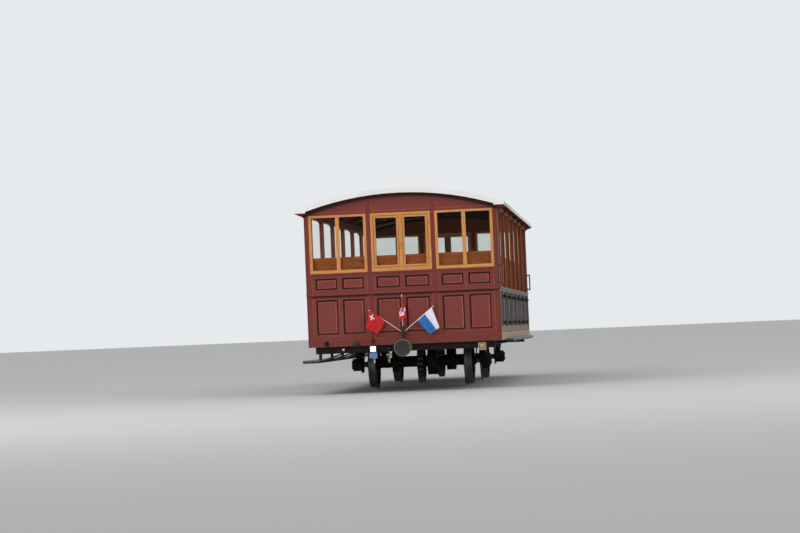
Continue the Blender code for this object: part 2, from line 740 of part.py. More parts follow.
def wheel_profile():
    # From the inner face outwards, as (x, radius), for the wheel at +X
    back = wheel["back_to_back"] / 2
    face = back + wheel["width"]
    middle = (back + face) / 2
    hub_in, hub_out = middle - wheel["hub_width"] / 2, middle + wheel["hub_width"] / 2
    half_web, dish = wheel["web"] / 2, wheel["web_dish"]
    rim = tread_radius - wheel["rim"]
    quarter = wheel["flange_width"] / 4
    return [(hub_in, axle["radius"]), (hub_in, wheel["hub_radius"]),
            (middle + dish - half_web, wheel["hub_radius"]), (middle - dish - half_web, rim),
            (back, rim), (back, flange_radius), (back + 2 * quarter, flange_radius),
            (back + wheel["flange_width"], tread_radius),
            (face, tread_radius - quarter / 4), (face, rim), (middle - dish + half_web, rim),
            (middle + dish + half_web, wheel["hub_radius"]), (hub_out, wheel["hub_radius"]),
            (hub_out, axle["radius"])]


def drum_profile():
    low = cog["width"] / 2 + drum["gap"]
    high = low + drum["width"]
    return [(low, axle["radius"]), (low, drum["radius"]), (high, drum["radius"]), (high, axle["radius"])]


def wheelset_profile():
    right = wheel_profile()
    left = [(-x, radius) for x, radius in reversed(right)]
    end = journal_end
    shoulder = right[-1][0] + axle["collar"]
    outer = [(shoulder, axle["radius"]), (shoulder, axle["journal"]), (end, axle["journal"])]
    return [(-x, radius) for x, radius in reversed(outer)] + left + drum_profile() + right + outer


def cog_outline(y):
    points = []
    half_step = math.pi / cog["teeth"]
    flank, land = cog["flank_share"], cog["land_share"]
    corners = ((-flank, cog["root"]), (-land, cog["tip"]), (land, cog["tip"]), (flank, cog["root"]))
    for tooth in range(cog["teeth"]):
        for turn, radius in corners:
            angle = (2 * tooth + turn) * half_step
            points.append((y + radius * math.cos(angle), tread_radius + radius * math.sin(angle)))
    return points


def make_wheelsets():
    for name, y in axle_places.items():
        body = lathe(wheelset_profile(), (0, y, tread_radius), "X")
        gear = prism(cog_outline(y), -cog["width"] / 2, cog["width"] / 2, "X")
        lift(fuse("wheelset", [body, gear], "wheel_steel"), "wheelset_" + name, (0, y, tread_radius))


guard = {"thickness": 0.015, "top_half": 0.36, "bottom_half": 0.15, "bottom": 0.235, "top": 0.70,
         "hole_top_half": 0.22, "hole_bottom_half": 0.137, "hole_top": 0.55, "stay": 0.014}
axle_box = {"half_length": 0.10, "bottom": 0.265, "top": 0.455, "cover": 0.05, "bore_gap": 0.004,
            "lid_half": 0.07, "lid": 0.02, "lid_inset": 0.03}
spring = {"half": 0.42, "leaf": 0.014, "overlap": 0.0035, "leaves": 5, "width": 0.07, "points": 8,
          "buckle_half": 0.04, "buckle_side": 0.006}


def guard_plate(y):
    high_x = sole_bar["inner"] - touch_gap
    low_x = high_x - guard["thickness"]
    outline = [(y - guard["top_half"], guard["top"]), (y - guard["bottom_half"], guard["bottom"]),
               (y + guard["bottom_half"], guard["bottom"]), (y + guard["top_half"], guard["top"])]
    low = axle_box["top"] + guard["stay"]
    window = [(y - guard["hole_top_half"], guard["hole_top"]), (y - guard["hole_bottom_half"], low),
              (y + guard["hole_bottom_half"], low), (y + guard["hole_top_half"], guard["hole_top"])]
    hole = prism(window, low_x - cut_overrun, high_x + cut_overrun, "X")
    return fuse("plate", [prism(outline, low_x, high_x, "X")], "frame_steel", [hole])


def spring_solids(y):
    # Leaves laid on the axle box, each longer than the one below it, held by a buckle
    x = sole_bar["inner"] + sole_bar["width"] / 2
    low, high = x - spring["width"] / 2, x + spring["width"] / 2
    stack = spring["leaf"] * spring["leaves"]
    rise = sole_bar["bottom"] - touch_gap - axle_box["top"] - stack
    solids = []
    for index in range(spring["leaves"]):
        half = spring["half"] * (index + 2) / (spring["leaves"] + 1)
        base = axle_box["top"] - spring["overlap"] + index * spring["leaf"]
        points = []
        for step in range(spring["points"] + 1):
            across = half * (2 * step / spring["points"] - 1)
            points.append((y + across, base + rise * (across / spring["half"]) ** 2))
        top = [(a, b + spring["leaf"] + spring["overlap"]) for a, b in reversed(points)]
        solids.append(prism(points + top, low, high, "X"))
    side_gap = spring["buckle_side"]
    buckle = block((low - side_gap, y - spring["buckle_half"], axle_box["top"] - side_gap),
                   (high + side_gap, y + spring["buckle_half"], axle_box["top"] + stack + side_gap))
    return solids + [buckle]


def make_axle_guards():
    for name, y in axle_places.items():
        inner = sole_bar["inner"] - touch_gap - guard["thickness"]
        outer = journal_end + axle_box["cover"]
        box = block((inner + guard["thickness"] / 2, y - axle_box["half_length"], axle_box["bottom"]),
                    (outer, y + axle_box["half_length"], axle_box["top"]))
        lid = block((outer - axle_box["lid"], y - axle_box["lid_half"],
                     axle_box["bottom"] + axle_box["lid_inset"]),
                    (outer + axle_box["lid"], y + axle_box["lid_half"],
                     axle_box["top"] - axle_box["lid_inset"]))
        bore_radius = axle["journal"] + axle_box["bore_gap"]
        bore_end = journal_end + axle_box["bore_gap"]
        bore = lathe([(inner - cut_overrun, bore_radius), (bore_end, bore_radius)], (0, y, tread_radius), "X")
        right = fuse("axle_guard", [guard_plate(y), box, lid] + spring_solids(y), "frame_steel", [bore])
        left = mirrored(right)
        lift(right, "axle_guard_" + name + "_right")
        lift(left, "axle_guard_" + name + "_left")


brake = {"beam_from_axle": 0.52, "beam_radius": 0.024, "beam_height": 0.33, "shoe_gap": 0.008,
         "shoe_thickness": 0.045, "shoe_sweep": 0.42, "shoe_steps": 5, "shoe_side": 0.02,
         "hanger_width": 0.04, "hanger_thickness": 0.02, "hanger_from_middle": 0.64}


def brake_shoe(axle_y, way, low_x, high_x):
    # An arc that faces the tread on the side that way points to
    inner = tread_radius + brake["shoe_gap"]
    outer = inner + brake["shoe_thickness"]
    middle = math.atan2(brake["beam_height"] - tread_radius, way * brake["beam_from_axle"])
    angles = [middle + brake["shoe_sweep"] * (2 * step / brake["shoe_steps"] - 1)
              for step in range(brake["shoe_steps"] + 1)]
    outline = [(axle_y + inner * math.cos(angle), tread_radius + inner * math.sin(angle)) for angle in angles]
    outline += [(axle_y + outer * math.cos(angle), tread_radius + outer * math.sin(angle))
                for angle in reversed(angles)]
    return prism(outline, low_x, high_x, "X")


def make_brakes():
    # Each axle's brake beam hangs on the side nearer the coach's middle
    tread_low = wheel["back_to_back"] / 2 + wheel["flange_width"]
    tread_high = wheel["back_to_back"] / 2 + wheel["width"]
    for name, axle_y in axle_places.items():
        way = 1 if axle_y < 0 else -1
        y = axle_y + way * brake["beam_from_axle"]
        shoe_low, shoe_high = tread_low + brake["shoe_side"] / 2, tread_high
        solids = [rod((-shoe_high, y, brake["beam_height"]), (shoe_high, y, brake["beam_height"]),
                      brake["beam_radius"])]
        reach = brake["beam_from_axle"] - tread_radius - brake["shoe_gap"]
        for side_way in (-1, 1):
            low, high = sorted((side_way * shoe_low, side_way * shoe_high))
            solids.append(brake_shoe(axle_y, way, low, high))
            near, far = sorted((y, y - way * (reach - brake["shoe_thickness"] / 2)))
            inset, half = brake["shoe_side"], brake["beam_radius"] / 2
            solids.append(block((low + inset, near, brake["beam_height"] - half),
                                (high - inset, far, brake["beam_height"] + half)))
            x = side_way * brake["hanger_from_middle"]
            solids.append(block((x - brake["hanger_thickness"] / 2, y - brake["hanger_width"] / 2,
                                 brake["beam_height"] - brake["hanger_width"] / 2),
                                (x + brake["hanger_thickness"] / 2, y + brake["hanger_width"] / 2,
                                 floor_bottom - touch_gap)))
        lift(fuse("brake", solids, "frame_steel"), "brake_beam_" + name)


# Buffers and step boards

buffer_part = {"height": 0.62, "disc_radius": 0.125, "disc": 0.022, "disc_back": 0.05, "rim": 0.012,
               "stem": 0.045, "reach": 0.43, "housing": 0.082, "nose": 0.062, "housing_length": 0.16,
               "foot_half": 0.11, "foot_height": 0.085, "foot_plate": 0.03, "wall_gap": 0.004}


def make_buffers():
    start = front_face + headstock["set_back"] - touch_gap
    base = front_face - trim["belt_proud"] - buffer_part["wall_gap"]
    nose = base - buffer_part["housing_length"]
    face = front_face - buffer_part["reach"]
    disc = buffer_part["disc"]
    profile = [(base, buffer_part["housing"]), (base - disc, buffer_part["housing"]),
               (nose, buffer_part["nose"]), (nose, buffer_part["stem"]),
               (face + buffer_part["disc_back"], buffer_part["stem"]),
               (face + disc, buffer_part["disc_radius"] - buffer_part["rim"]),
               (face + disc, buffer_part["disc_radius"]),
               (face + buffer_part["rim"] / 2, buffer_part["disc_radius"]),
               (face, buffer_part["disc_radius"] - buffer_part["rim"])]
    body = lathe(profile, (0, 0, buffer_part["height"]), "Y")
    top = sill_bottom - touch_gap
    half, low = buffer_part["foot_half"], top - buffer_part["foot_height"]
    foot = block((-half, base - buffer_part["foot_plate"], low), (half, start, top))
    front = fuse("buffer", [body, foot], "frame_steel")
    rear = turned_round(front)
    lift(front, "buffer_front")
    lift(rear, "buffer_rear")


step_board = {"width": 0.245, "thickness": 0.045, "top": 0.485, "end_inset": 0.10, "corner": 0.012,
              "hanger_width": 0.045, "hanger_thickness": 0.016, "brace": 0.011}
raised_board = {"width": 0.105, "thickness": 0.048, "rise": 0.018, "half_length": 3.4, "side_gap": 0.003,
                "arm_width": 0.05, "arm_height": 0.022}


def step_section(outer, width, top, thickness):
    # A board's cross-section with its lower edges rounded off
    corner = step_board["corner"]
    low, inner = top - thickness, outer - width
    return [(inner, top), (inner, low + corner), (inner + corner, low), (outer - corner, low),
            (outer, low + corner), (outer, top)]


def make_lowered_steps():
    # The left side's board hangs low from the outriggers at the posts
    end = body_length / 2 - step_board["end_inset"]
    outer, top = roof_width / 2, step_board["top"]
    section = step_section(outer, step_board["width"], top, step_board["thickness"])
    solids = [prism(section, -end, end, "Y")]
    inner = outer - step_board["width"]
    hanger_top = floor_bottom - touch_gap - sole_bar["outrigger_height"] - touch_gap
    for y in post_places:
        half = step_board["hanger_thickness"] / 2
        solids.append(block((inner, y - half, top - step_board["thickness"] / 2),
                            (inner + step_board["hanger_width"], y + half, hanger_top)))
        brace_top = (sole_bar["inner"] + sole_bar["width"] / 2, y,
                     sole_bar["bottom"] - step_board["brace"] - touch_gap)
        solids.append(rod((inner + step_board["hanger_width"] / 2, y, top - step_board["thickness"] / 2),
                          brace_top, step_board["brace"]))
    board = fuse("steps", solids, "dark_board")
    left = mirrored(board)
    bpy.data.objects.remove(board, do_unlink=True)
    lift(left, "footboard_left")


def make_raised_steps():
    # The right side's board sits up beside the sill, on arms from the sole bar's web
    inner = half_body + raised_board["side_gap"]
    outer = inner + raised_board["width"]
    top = sill_bottom + raised_board["rise"]
    end = raised_board["half_length"]
    section = step_section(outer, raised_board["width"], top, raised_board["thickness"])
    solids = [prism(section, -end, end, "Y")]
    arm_top = sill_bottom - touch_gap
    for y in post_places:
        if abs(y) < end:
            half = raised_board["arm_width"] / 2
            solids.append(block((sole_bar["inner"] + sole_bar["web"] + touch_gap, y - half,
                                 arm_top - raised_board["arm_height"]),
                                (inner + raised_board["width"] / 2, y + half, arm_top)))
    lift(fuse("steps", solids, "dark_board"), "footboard_right")


# What hangs on the leading end

lamp = {"x": -0.46, "lens_width": 0.092, "lens_height": 0.088, "top": 0.66, "body_top_width": 0.10,
        "body_width": 0.115, "body_height": 0.095, "depth": 0.075, "out": 0.02, "rod": 0.008, "rod_top": 0.80,
        "clamp": 0.022, "clamp_drop": 0.03, "tag_width": 0.022, "tag_height": 0.07, "tag_depth": 0.012,
        "glass_out": 0.008, "bezel": 0.008}
socket = {"x": -0.706, "height": 0.705, "radius": 0.043, "out": 0.05, "cap": 0.034, "cap_out": 0.07}
lamp_iron = {"from_end": 0.17, "low": 0.678, "height": 0.072, "width": 0.05, "out": 0.022, "slot": 0.024,
             "slot_depth": 0.012}
marker = {"from_end": 0.195, "height": 0.595, "width": 0.115, "plate": 0.012, "disc": 0.037,
          "disc_out": 0.018}
hose = {"x": -0.235, "radius": 0.016, "head_half": 0.034, "head_low": 0.505, "head_high": 0.545,
        "tail_low": 0.415, "tail_half": 0.014, "head_depth": 0.05, "out": 0.09}


def make_lamp():
    back = front_face - trim["sill_proud"] - touch_gap
    near = back - lamp["out"]
    far = near - lamp["depth"]
    x, top = lamp["x"], lamp["top"]
    low = top - lamp["lens_height"]
    half = lamp["lens_width"] / 2
    head = block((x - half, far, low - lamp["bezel"]), (x + half, near, top))
    glass = block((x - half + lamp["bezel"], far - lamp["glass_out"], low + lamp["bezel"]),
                  (x + half - lamp["bezel"], near - lamp["depth"] / 2, top - lamp["bezel"]))
    upper, lower = lamp["body_top_width"] / 2, lamp["body_width"] / 2
    outline = [(x - upper, low), (x + upper, low), (x + lower, low - lamp["body_height"] / 2),
               (x + lower, low - lamp["body_height"]), (x - lower, low - lamp["body_height"]),
               (x - lower, low - lamp["body_height"] / 2)]
    body = prism(outline, far + lamp["bezel"], near - lamp["bezel"], "Y")
    middle = near - lamp["depth"] / 2
    stem = rod((x, middle, top - lamp["bezel"]), (x, middle, lamp["rod_top"]), lamp["rod"])
    clamp_low = lamp["rod_top"] - lamp["clamp_drop"] - lamp["clamp"]
    clamp = block((x - lamp["clamp"] / 2, middle - lamp["clamp"] / 2, clamp_low - lamp["clamp"]),
                  (x + lamp["clamp"] / 2, back, clamp_low))
    tag = block((x, middle - lamp["tag_depth"] / 2, low - lamp["body_height"] - lamp["tag_height"]),
                (x + lamp["tag_width"], middle + lamp["tag_depth"] / 2, low - lamp["body_height"] / 2))
    lift(fuse("lamp", [head, glass, body, stem, clamp, tag], "lamp_metal"), "end_lamp")


def make_socket():
    back = front_face - trim["sill_proud"] - touch_gap
    profile = [(back - socket["cap_out"], socket["cap"]), (back - socket["out"], socket["cap"]),
               (back - socket["out"], socket["radius"]), (back, socket["radius"])]
    body = lathe(profile, (socket["x"], 0, socket["height"]), "Y", boss_sides)
    lift(fuse("socket", [body], "frame_steel"), "jumper_socket")


def make_lamp_iron():
    back = front_face - trim["sill_proud"] - touch_gap
    x, half = lamp_iron["from_end"] - headstock_half, lamp_iron["width"] / 2
    low, high = lamp_iron["low"], lamp_iron["low"] + lamp_iron["height"]
    plate = block((x - half, back - lamp_iron["out"], low), (x + half, back, high))
    slot = block((x - lamp_iron["slot"] / 2, back - lamp_iron["out"] + lamp_iron["slot_depth"] / 2,
                  low + lamp_iron["slot_depth"]),
                 (x + lamp_iron["slot"] / 2, back - lamp_iron["slot_depth"] / 2, high + cut_overrun))
    lift(fuse("lamp_iron", [plate], "frame_steel", [slot]), "lamp_iron")


def make_marker():
    back = front_face + headstock["set_back"] - touch_gap
    half, x = marker["width"] / 2, headstock_half - marker["from_end"]
    plate = block((x - half, back - marker["plate"], marker["height"] - half),
                  (x + half, back, marker["height"] + half))
    disc = lathe([(back - marker["plate"] - marker["disc_out"], marker["disc"]),
                  (back - marker["plate"] / 2, marker["disc"])], (x, 0, marker["height"]), "Y", boss_sides)
    lift(fuse("marker", [plate, disc], "marker_white"), "marker_lamp")


def make_hose_coupling():
    back = front_face + headstock["set_back"] - touch_gap
    level = (sole_bar["bottom"] + sill_bottom) / 2
    bend = back - hose["out"]
    x, radius = hose["x"], hose["radius"]
    pipe = rod((x, back, level), (x, bend - radius, level), radius)
    drop = rod((x, bend, level + radius), (x, bend, hose["head_low"]), radius)
    depth = hose["head_depth"] / 2
    head = block((x - hose["head_half"], bend - depth, hose["head_low"]),
                 (x + hose["head_half"], bend + depth, hose["head_high"]))
    tail = block((x - hose["tail_half"], bend - depth / 2, hose["tail_low"]),
                 (x + hose["tail_half"], bend + depth / 2, hose["head_low"] + hose["tail_half"]))
    lift(fuse("hose", [pipe, drop, head, tail], "hose_yellow"), "hose_coupling")


flag_stand = {"x": -0.018, "neck_half": 0.014, "half": 0.028, "bottom": 0.757, "head_low": 0.83,
              "top": 0.93, "out": 0.05, "pole": 0.006}
flag_cloth = {"thickness": 0.006}
flags = {
    # Each pole's tip, as (across, height), and its cloth's outline: at the sides in shares of the pole
    # along it and of the drop down from it, in the centre in shares of the drop across and down
    "left": {"tip": (-0.507, 1.184), "drop": 0.235, "colour": "red_cloth",
             "shares": ((0.965, -0.02), (0.535, -0.03), (0.60, 0.51), (0.78, 1.15), (0.91, 1.26),
                        (1.10, 1.16), (1.11, 0.96), (1.06, 0.52))},
    "centre": {"tip": (-0.018, 1.393), "drop": 0.37, "colour": "red_cloth",
               "shares": ((0.0, 0.04), (0.055, 0.20), (0.105, 0.38), (0.15, 0.56), (0.17, 0.69),
                          (0.168, 0.80), (-0.15, 1.02), (-0.17, 1.01), (-0.155, 0.68), (-0.095, 0.37))},
    "right": {"tip": (0.443, 1.207), "drop": 0.30, "colour": "blue_cloth",
              "shares": ((0.945, -0.02), (0.485, -0.03), (0.865, 1.18), (1.15, 1.04))},
}
stand_y = front_face - trim["belt_proud"] - flag_stand["out"] / 2 - touch_gap


def make_flag_stand():
    half, neck = flag_stand["half"], flag_stand["neck_half"]
    deep = flag_stand["out"] / 2
    back = front_face - trim["sill_proud"] - touch_gap
    x, base, low = flag_stand["x"], flag_stand["head_low"], flag_stand["bottom"]
    solids = [block((x - half, stand_y - deep, base), (x + half, stand_y + deep, flag_stand["top"])),
              block((x - neck, stand_y - deep / 2, low), (x + neck, stand_y + deep / 2, base + neck)),
              block((x - neck, stand_y - deep / 2, low), (x + neck, back, sill_top - neck / 2))]
    for flag in flags.values():
        across, height = flag["tip"]
        solids.append(rod((x, stand_y, base + flag_stand["pole"]), (across, stand_y, height),
                          flag_stand["pole"]))
    lift(fuse("flag_stand", solids, "frame_steel"), "flag_stand")


def flag_outline(name):
    # Points along the pole and down from it; the centre flag hangs beside its upright pole
    flag = flags[name]
    across, height = flag["tip"]
    base = flag_stand["head_low"]
    if name == "centre":
        top = height - flag_stand["half"]
        return [(across + aside * flag["drop"], top - down * flag["drop"]) for aside, down in flag["shares"]]
    foot = flag_stand["x"]
    return [(foot + (across - foot) * along, base + (height - base) * min(along, 1) - down * flag["drop"])
            for along, down in flag["shares"]]


def make_flags():
    y = stand_y - flag_stand["pole"] - touch_gap
    for name, flag in flags.items():
        cloth = prism(flag_outline(name), y - flag_cloth["thickness"], y, "Y")
        lift(fuse("flag", [cloth], flag["colour"]), "flag_" + name)


def make_coach():
    clear_scene()
    make_roof()
    make_end_walls()
    for span in window_spans():
        make_window(*span)
    make_sides()
    make_doors()
    make_floor()
    make_benches()
    make_sole_bars()
    make_bearers()
    make_headstocks()
    make_wheelsets()
    make_axle_guards()
    make_brakes()
    make_buffers()
    make_lowered_steps()
    make_raised_steps()
    make_lamp()
    make_socket()
    make_lamp_iron()
    make_marker()
    make_hose_coupling()
    make_flag_stand()
    make_flags()


make_coach()
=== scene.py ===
import math
import bpy
from mathutils import Matrix, Vector


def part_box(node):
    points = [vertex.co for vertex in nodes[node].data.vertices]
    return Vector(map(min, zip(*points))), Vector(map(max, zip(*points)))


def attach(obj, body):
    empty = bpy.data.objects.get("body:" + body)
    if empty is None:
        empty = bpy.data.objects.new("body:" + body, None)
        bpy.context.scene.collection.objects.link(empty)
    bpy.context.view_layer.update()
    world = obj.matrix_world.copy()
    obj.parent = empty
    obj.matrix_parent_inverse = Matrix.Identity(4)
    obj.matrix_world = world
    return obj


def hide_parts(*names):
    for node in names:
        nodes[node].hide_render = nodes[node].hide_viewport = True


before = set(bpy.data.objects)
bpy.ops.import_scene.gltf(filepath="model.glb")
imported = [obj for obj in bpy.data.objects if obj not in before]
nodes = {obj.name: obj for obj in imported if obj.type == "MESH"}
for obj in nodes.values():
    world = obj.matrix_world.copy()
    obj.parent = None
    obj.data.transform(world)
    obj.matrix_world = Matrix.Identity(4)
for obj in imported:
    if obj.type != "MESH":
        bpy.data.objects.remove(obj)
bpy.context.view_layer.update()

# Rack railway passenger coach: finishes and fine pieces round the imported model.
# Lengths are metres, colours are sRGB bytes, and heights in the dictionaries are above the rail.
coach = {"sillBottom": 0.669, "end": 4.5, "sideFromEnd": 0.0503, "bay": 1.357, "axle": 1.9, "lining": 4.49}
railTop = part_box("end_wall_front")[0].z - coach["sillBottom"]
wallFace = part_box("side_frame_right")[0].y - coach["sideFromEnd"]
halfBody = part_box("end_wall_front")[1].x


def up(height):
    # From above the rail to above the floor that the flanges stand on
    return height + railTop


# The camera stands low, far off and a little to the right, with a long lens
photo = {"x": 3.4005, "fromWall": 35.8626, "height": 0.8808, "yaw": 5.461, "pitch": 1.4547, "roll": -2.4221,
         "lens": 111.75, "sensor": 36, "reach": 500}


def placeCamera():
    camera = bpy.data.cameras.new("photoCamera")
    camera.lens, camera.sensor_width, camera.clip_end = photo["lens"], photo["sensor"], photo["reach"]
    seat = bpy.data.objects.new("photoCamera", camera)
    bpy.context.scene.collection.objects.link(seat)
    seat.matrix_world = Matrix.Translation((photo["x"], wallFace - photo["fromWall"], up(photo["height"])))
    for angle, axis in ((photo["yaw"], "Z"), (90 + photo["pitch"], "X"), (photo["roll"], "Z")):
        seat.matrix_world = seat.matrix_world @ Matrix.Rotation(math.radians(angle), 4, axis)
    bpy.context.scene.camera = seat


placeCamera()
print("camera placed")

# Helpers for the finishes: each takes and gives node sockets, and a socket knows the tree that it is in

finish = {}


def linear(rgb):
    steps = [value / 255 for value in rgb]
    return [value / 12.92 if value <= 0.04045 else ((value + 0.055) / 1.055) ** 2.4 for value in steps] + [1]


def newFinish(name, rough=0.5, metal=0.0, **sockets):
    made = finish[name] = bpy.data.materials.new(name)
    made.use_nodes = True
    for label, value in {"Roughness": rough, "Metallic": metal, **sockets}.items():
        made.node_tree.nodes["Principled BSDF"].inputs[label.replace("_", " ")].default_value = value
    return made


def treeOf(*values):
    return next(value.id_data for value in values if isinstance(value, bpy.types.NodeSocket))


def addNode(tree, kind, **settings):
    node = tree.nodes.new("ShaderNode" + kind)
    for label, value in settings.items():
        setattr(node, label, value)
    return node


def feed(socket, value):
    # A socket takes another node's output, a colour or a plain value
    if isinstance(value, bpy.types.NodeSocket):
        socket.id_data.links.new(value, socket)
    else:
        socket.default_value = linear(value) if isinstance(value, tuple) else value


def axesOf(vector):
    parts = addNode(treeOf(vector), "SeparateXYZ")
    feed(parts.inputs[0], vector)
    return parts.outputs


def spotOf(made, system="Object"):
    return addNode(made.node_tree, "TexCoord").outputs[system]


def axisOf(made, name):
    return axesOf(spotOf(made))[name]


def slopeOf(made):
    # The face's own direction, as three sockets
    return axesOf(addNode(made.node_tree, "NewGeometry").outputs["Normal"])


def maths(operation, first, second=0.0):
    node = addNode(treeOf(first, second), "Math", operation=operation)
    feed(node.inputs[0], first)
    feed(node.inputs[1], second)
    return node.outputs[0]


def times(first, second):
    return maths("MULTIPLY", first, second)


def plus(first, second):
    return maths("ADD", first, second)


def minus(first, second):
    return maths("SUBTRACT", first, second)


def larger(first, second):
    return maths("MAXIMUM", first, second)


def unsigned(value):
    return maths("ABSOLUTE", value)


def ranged(value, **ends):
    node = addNode(treeOf(value), "MapRange")
    feed(node.inputs["Value"], value)
    for label, end in ends.items():
        feed(node.inputs[label.replace("_", " ")], end)
    return node.outputs["Result"]


def fade(value, low, high):
    # 0 below low, 1 above high, or turned round where high is the smaller
    return ranged(value, From_Min=low, From_Max=high)


def band(value, low, high, soft):
    return times(fade(value, low - soft, low), fade(value, high + soft, high))


def mixValue(share, first, second):
    return ranged(share, To_Min=first, To_Max=second)


def mix(share, first, second):
    # Colours, as bytes or as sockets
    node = addNode(treeOf(share), "Mix", data_type="RGBA")
    for place, value in (("Factor", share), (6, first), (7, second)):
        feed(node.inputs[place], value)
    return node.outputs[2]


def noise(made, scale, detail=4.0, stretch=(1, 1, 1), warp=0.0):
    spread = addNode(made.node_tree, "Mapping")
    spread.inputs["Scale"].default_value = stretch
    feed(spread.inputs["Vector"], spotOf(made))
    node = addNode(made.node_tree, "TexNoise")
    feed(node.inputs["Vector"], spread.outputs[0])
    for label, value in (("Scale", scale), ("Detail", detail), ("Roughness", 0.55), ("Distortion", warp)):
        node.inputs[label].default_value = value
    return node.outputs[0]


def patchy(value):
    return fade(value, 0.4, 0.7)


def jointLines(place, near, far=0.0):
    # 1 at both edges of each board, from its number counted across
    place = maths("FRACT", place)
    return plus(fade(place, near, far), fade(place, 1 - near, 1 - far))


def finishOff(made, colour, rough, height=None, depth=0.0004, strength=0.25):
    shader = made.node_tree.nodes["Principled BSDF"].inputs
    feed(shader["Base Color"], colour)
    if rough:
        feed(shader["Roughness"], rough)
    if height:
        bump = addNode(made.node_tree, "Bump")
        for label, value in (("Distance", depth), ("Strength", strength), ("Height", height)):
            feed(bump.inputs[label], value)
        feed(shader["Normal"], bump.outputs[0])


# Red-brown gloss paint of the end walls: painted shade in the sunk mouldings, painted highlights along their
# inner edges.
# Faces are distances from the coach's middle.

endPaint = {"field": (148, 71, 60), "rail": (131, 62, 54), "dark": (24, 14, 13), "edge": (200, 102, 88),
            "worn": (116, 52, 43), "dust": (126, 84, 66), "varnish": (146, 88, 48),
            "varnishDark": (104, 56, 28), "groove": (62, 36, 36), "eave": (9, 5, 5), "fieldFace": 4.498,
            "floor": 4.488, "pilaster": 4.512, "sillFace": 4.53, "inside": 4.47, "dustTop": 0.86,
            "dustLow": 0.66, "belt": (1.413, 1.443), "beltShade": 0.026, "sillTop": 0.783, "line": 0.012,
            "boardEdge": 4.418, "boardCentre": -1.552, "eaveShade": (0.043, 0.051), "eaveGrowth": 0.011,
            "fieldSides": (0.4345, 0.5045, 1.3385), "fasciaLow": 2.6125, "bead": (0.004, 0.013)}


def endPaintFinish():
    made, look = newFinish("endWallPaint", 0.36, Specular_IOR_Level=0.22), endPaint
    across, height, depth = axisOf(made, "X"), axisOf(made, "Z"), unsigned(axisOf(made, "Y"))
    wide, slope = unsigned(across), slopeOf(made)
    face, field, floor, pilaster = coach["end"], look["fieldFace"], look["floor"], look["pilaster"]
    patches = noise(made, 3.0, 3.0, (1, 1, 0.6))
    paint = mix(band(depth, field - 0.0004, field + 0.0004, 0.0003), look["rail"], look["field"])

    def tint(share, amount, colour):
        return mix(times(share, amount), paint, colour)

    paint = tint(fade(patches, 0.35, 0.7), 0.35, look["worn"])
    paint = tint(fade(noise(made, 30.0, 3.0, (6, 6, 0.5)), 0.55, 0.8), 0.2, look["edge"])
    # Grooves: painted shade, broad and black above and at the left of a panel, softer below and at its right;
    # a painted highlight along each groove's inner edge
    sunk = band(depth, floor - 0.001, field - 0.0012, 0.0004)
    lit = larger(fade(slope["Z"], -0.1, -0.3), fade(slope["X"], 0.1, 0.3))
    paint = tint(sunk, 0.94, mix(times(lit, 0.6), look["dark"], look["groove"]))
    highlightFrom = mixValue(lit, floor + 0.0048, floor + 0.001)
    paint = tint(times(sunk, fade(minus(depth, highlightFrom), 0.0, 0.0016)), 0.9, look["edge"])
    # Painted highlight on the groove faces that look up
    ledgeHighlight = times(fade(slope["Z"], 0.5, 0.8), fade(depth, floor + 0.0015, face - 0.001))
    paint = tint(times(ledgeHighlight, fade(depth, look["sillFace"], look["sillFace"] - 0.0015)), 0.55, look["edge"])
    # Painted shade under the belt and over the sill, painted highlight lines along their top edges
    (low, high), sill, line = look["belt"], up(look["sillTop"]), look["line"]
    paint = tint(band(height, up(low - look["beltShade"]), up(low + 0.004), 0.004), 0.75, look["dark"])
    beltHighlight = band(height, up(high - line), up(high), 0.002)
    beltHighlight = times(fade(depth, pilaster + 0.006, pilaster + 0.010), beltHighlight)
    paint = tint(larger(beltHighlight, band(height, sill - line, sill, 0.002)), 0.45, look["edge"])
    paint = tint(band(height, sill + 0.001, sill + 0.010, 0.003), 0.35, look["dark"])
    # Pilasters: worn faces, a painted highlight on the flanks
    paint = tint(fade(depth, pilaster - 0.001, pilaster), 0.6, look["worn"])
    flank = times(fade(unsigned(slope["X"]), 0.5, 0.8), band(depth, face, pilaster + 0.001, 0.0005))
    paint = tint(flank, 0.6, look["edge"])
    # A painted highlight line runs round each sunk field, with a painted shade line along the field's edge
    apart = [unsigned(minus(wide, side)) for side in look["fieldSides"]]
    near = maths("MINIMUM", maths("MINIMUM", apart[0], apart[1]), apart[2])
    (start, stop), low = look["bead"], up(look["fasciaLow"])
    beads = larger(band(near, start, stop, 0.002), band(height, low + start, low + stop, 0.002))
    onFace = band(depth, face - 0.0005, face + 0.0005, 0.0003)
    paint = tint(times(beads, onFace), 0.5, look["edge"])
    paint = tint(times(fade(near, start, start - 0.002), onFace), 0.6, look["dark"])
    # Shade where the boards meet the roof's curved end board, and at the wall's corners
    square = times(across, across)
    arc = maths("SQRT", minus(look["boardEdge"] ** 2, square))
    below = minus(plus(arc, up(look["boardCentre"])), height)
    shadeEdge = minus(below, times(square, look["eaveGrowth"]))
    paint = tint(fade(shadeEdge, look["eaveShade"][1], look["eaveShade"][0]), 0.97, look["eave"])
    # Painted shade, in the worn colour, on the fascia just under the roof's end board
    paint = tint(fade(below, 0.18, 0.0), 0.35, look["worn"])
    paint = tint(fade(wide, halfBody - 0.03, halfBody - 0.005), 0.35, look["dark"])
    # Dust at the foot; its top is measured from the floor, not from the rail
    soil = times(fade(height, look["dustTop"], up(look["dustLow"])), fade(noise(made, 9.0, 5.0), 0.35, 0.8))
    paint = tint(soil, 0.15, look["dust"])
    # Varnished boards inside
    wood = mix(noise(made, 14.0, 5.0, (3, 3, 0.25), 0.6), look["varnish"], look["varnishDark"])
    paint = mix(fade(depth, look["inside"] + 0.001, look["inside"]), paint, wood)
    finishOff(made, paint, mixValue(patches, 0.28, 0.46), noise(made, 60.0, 4.0, (1, 1, 0.12)), 0.0006, 0.35)
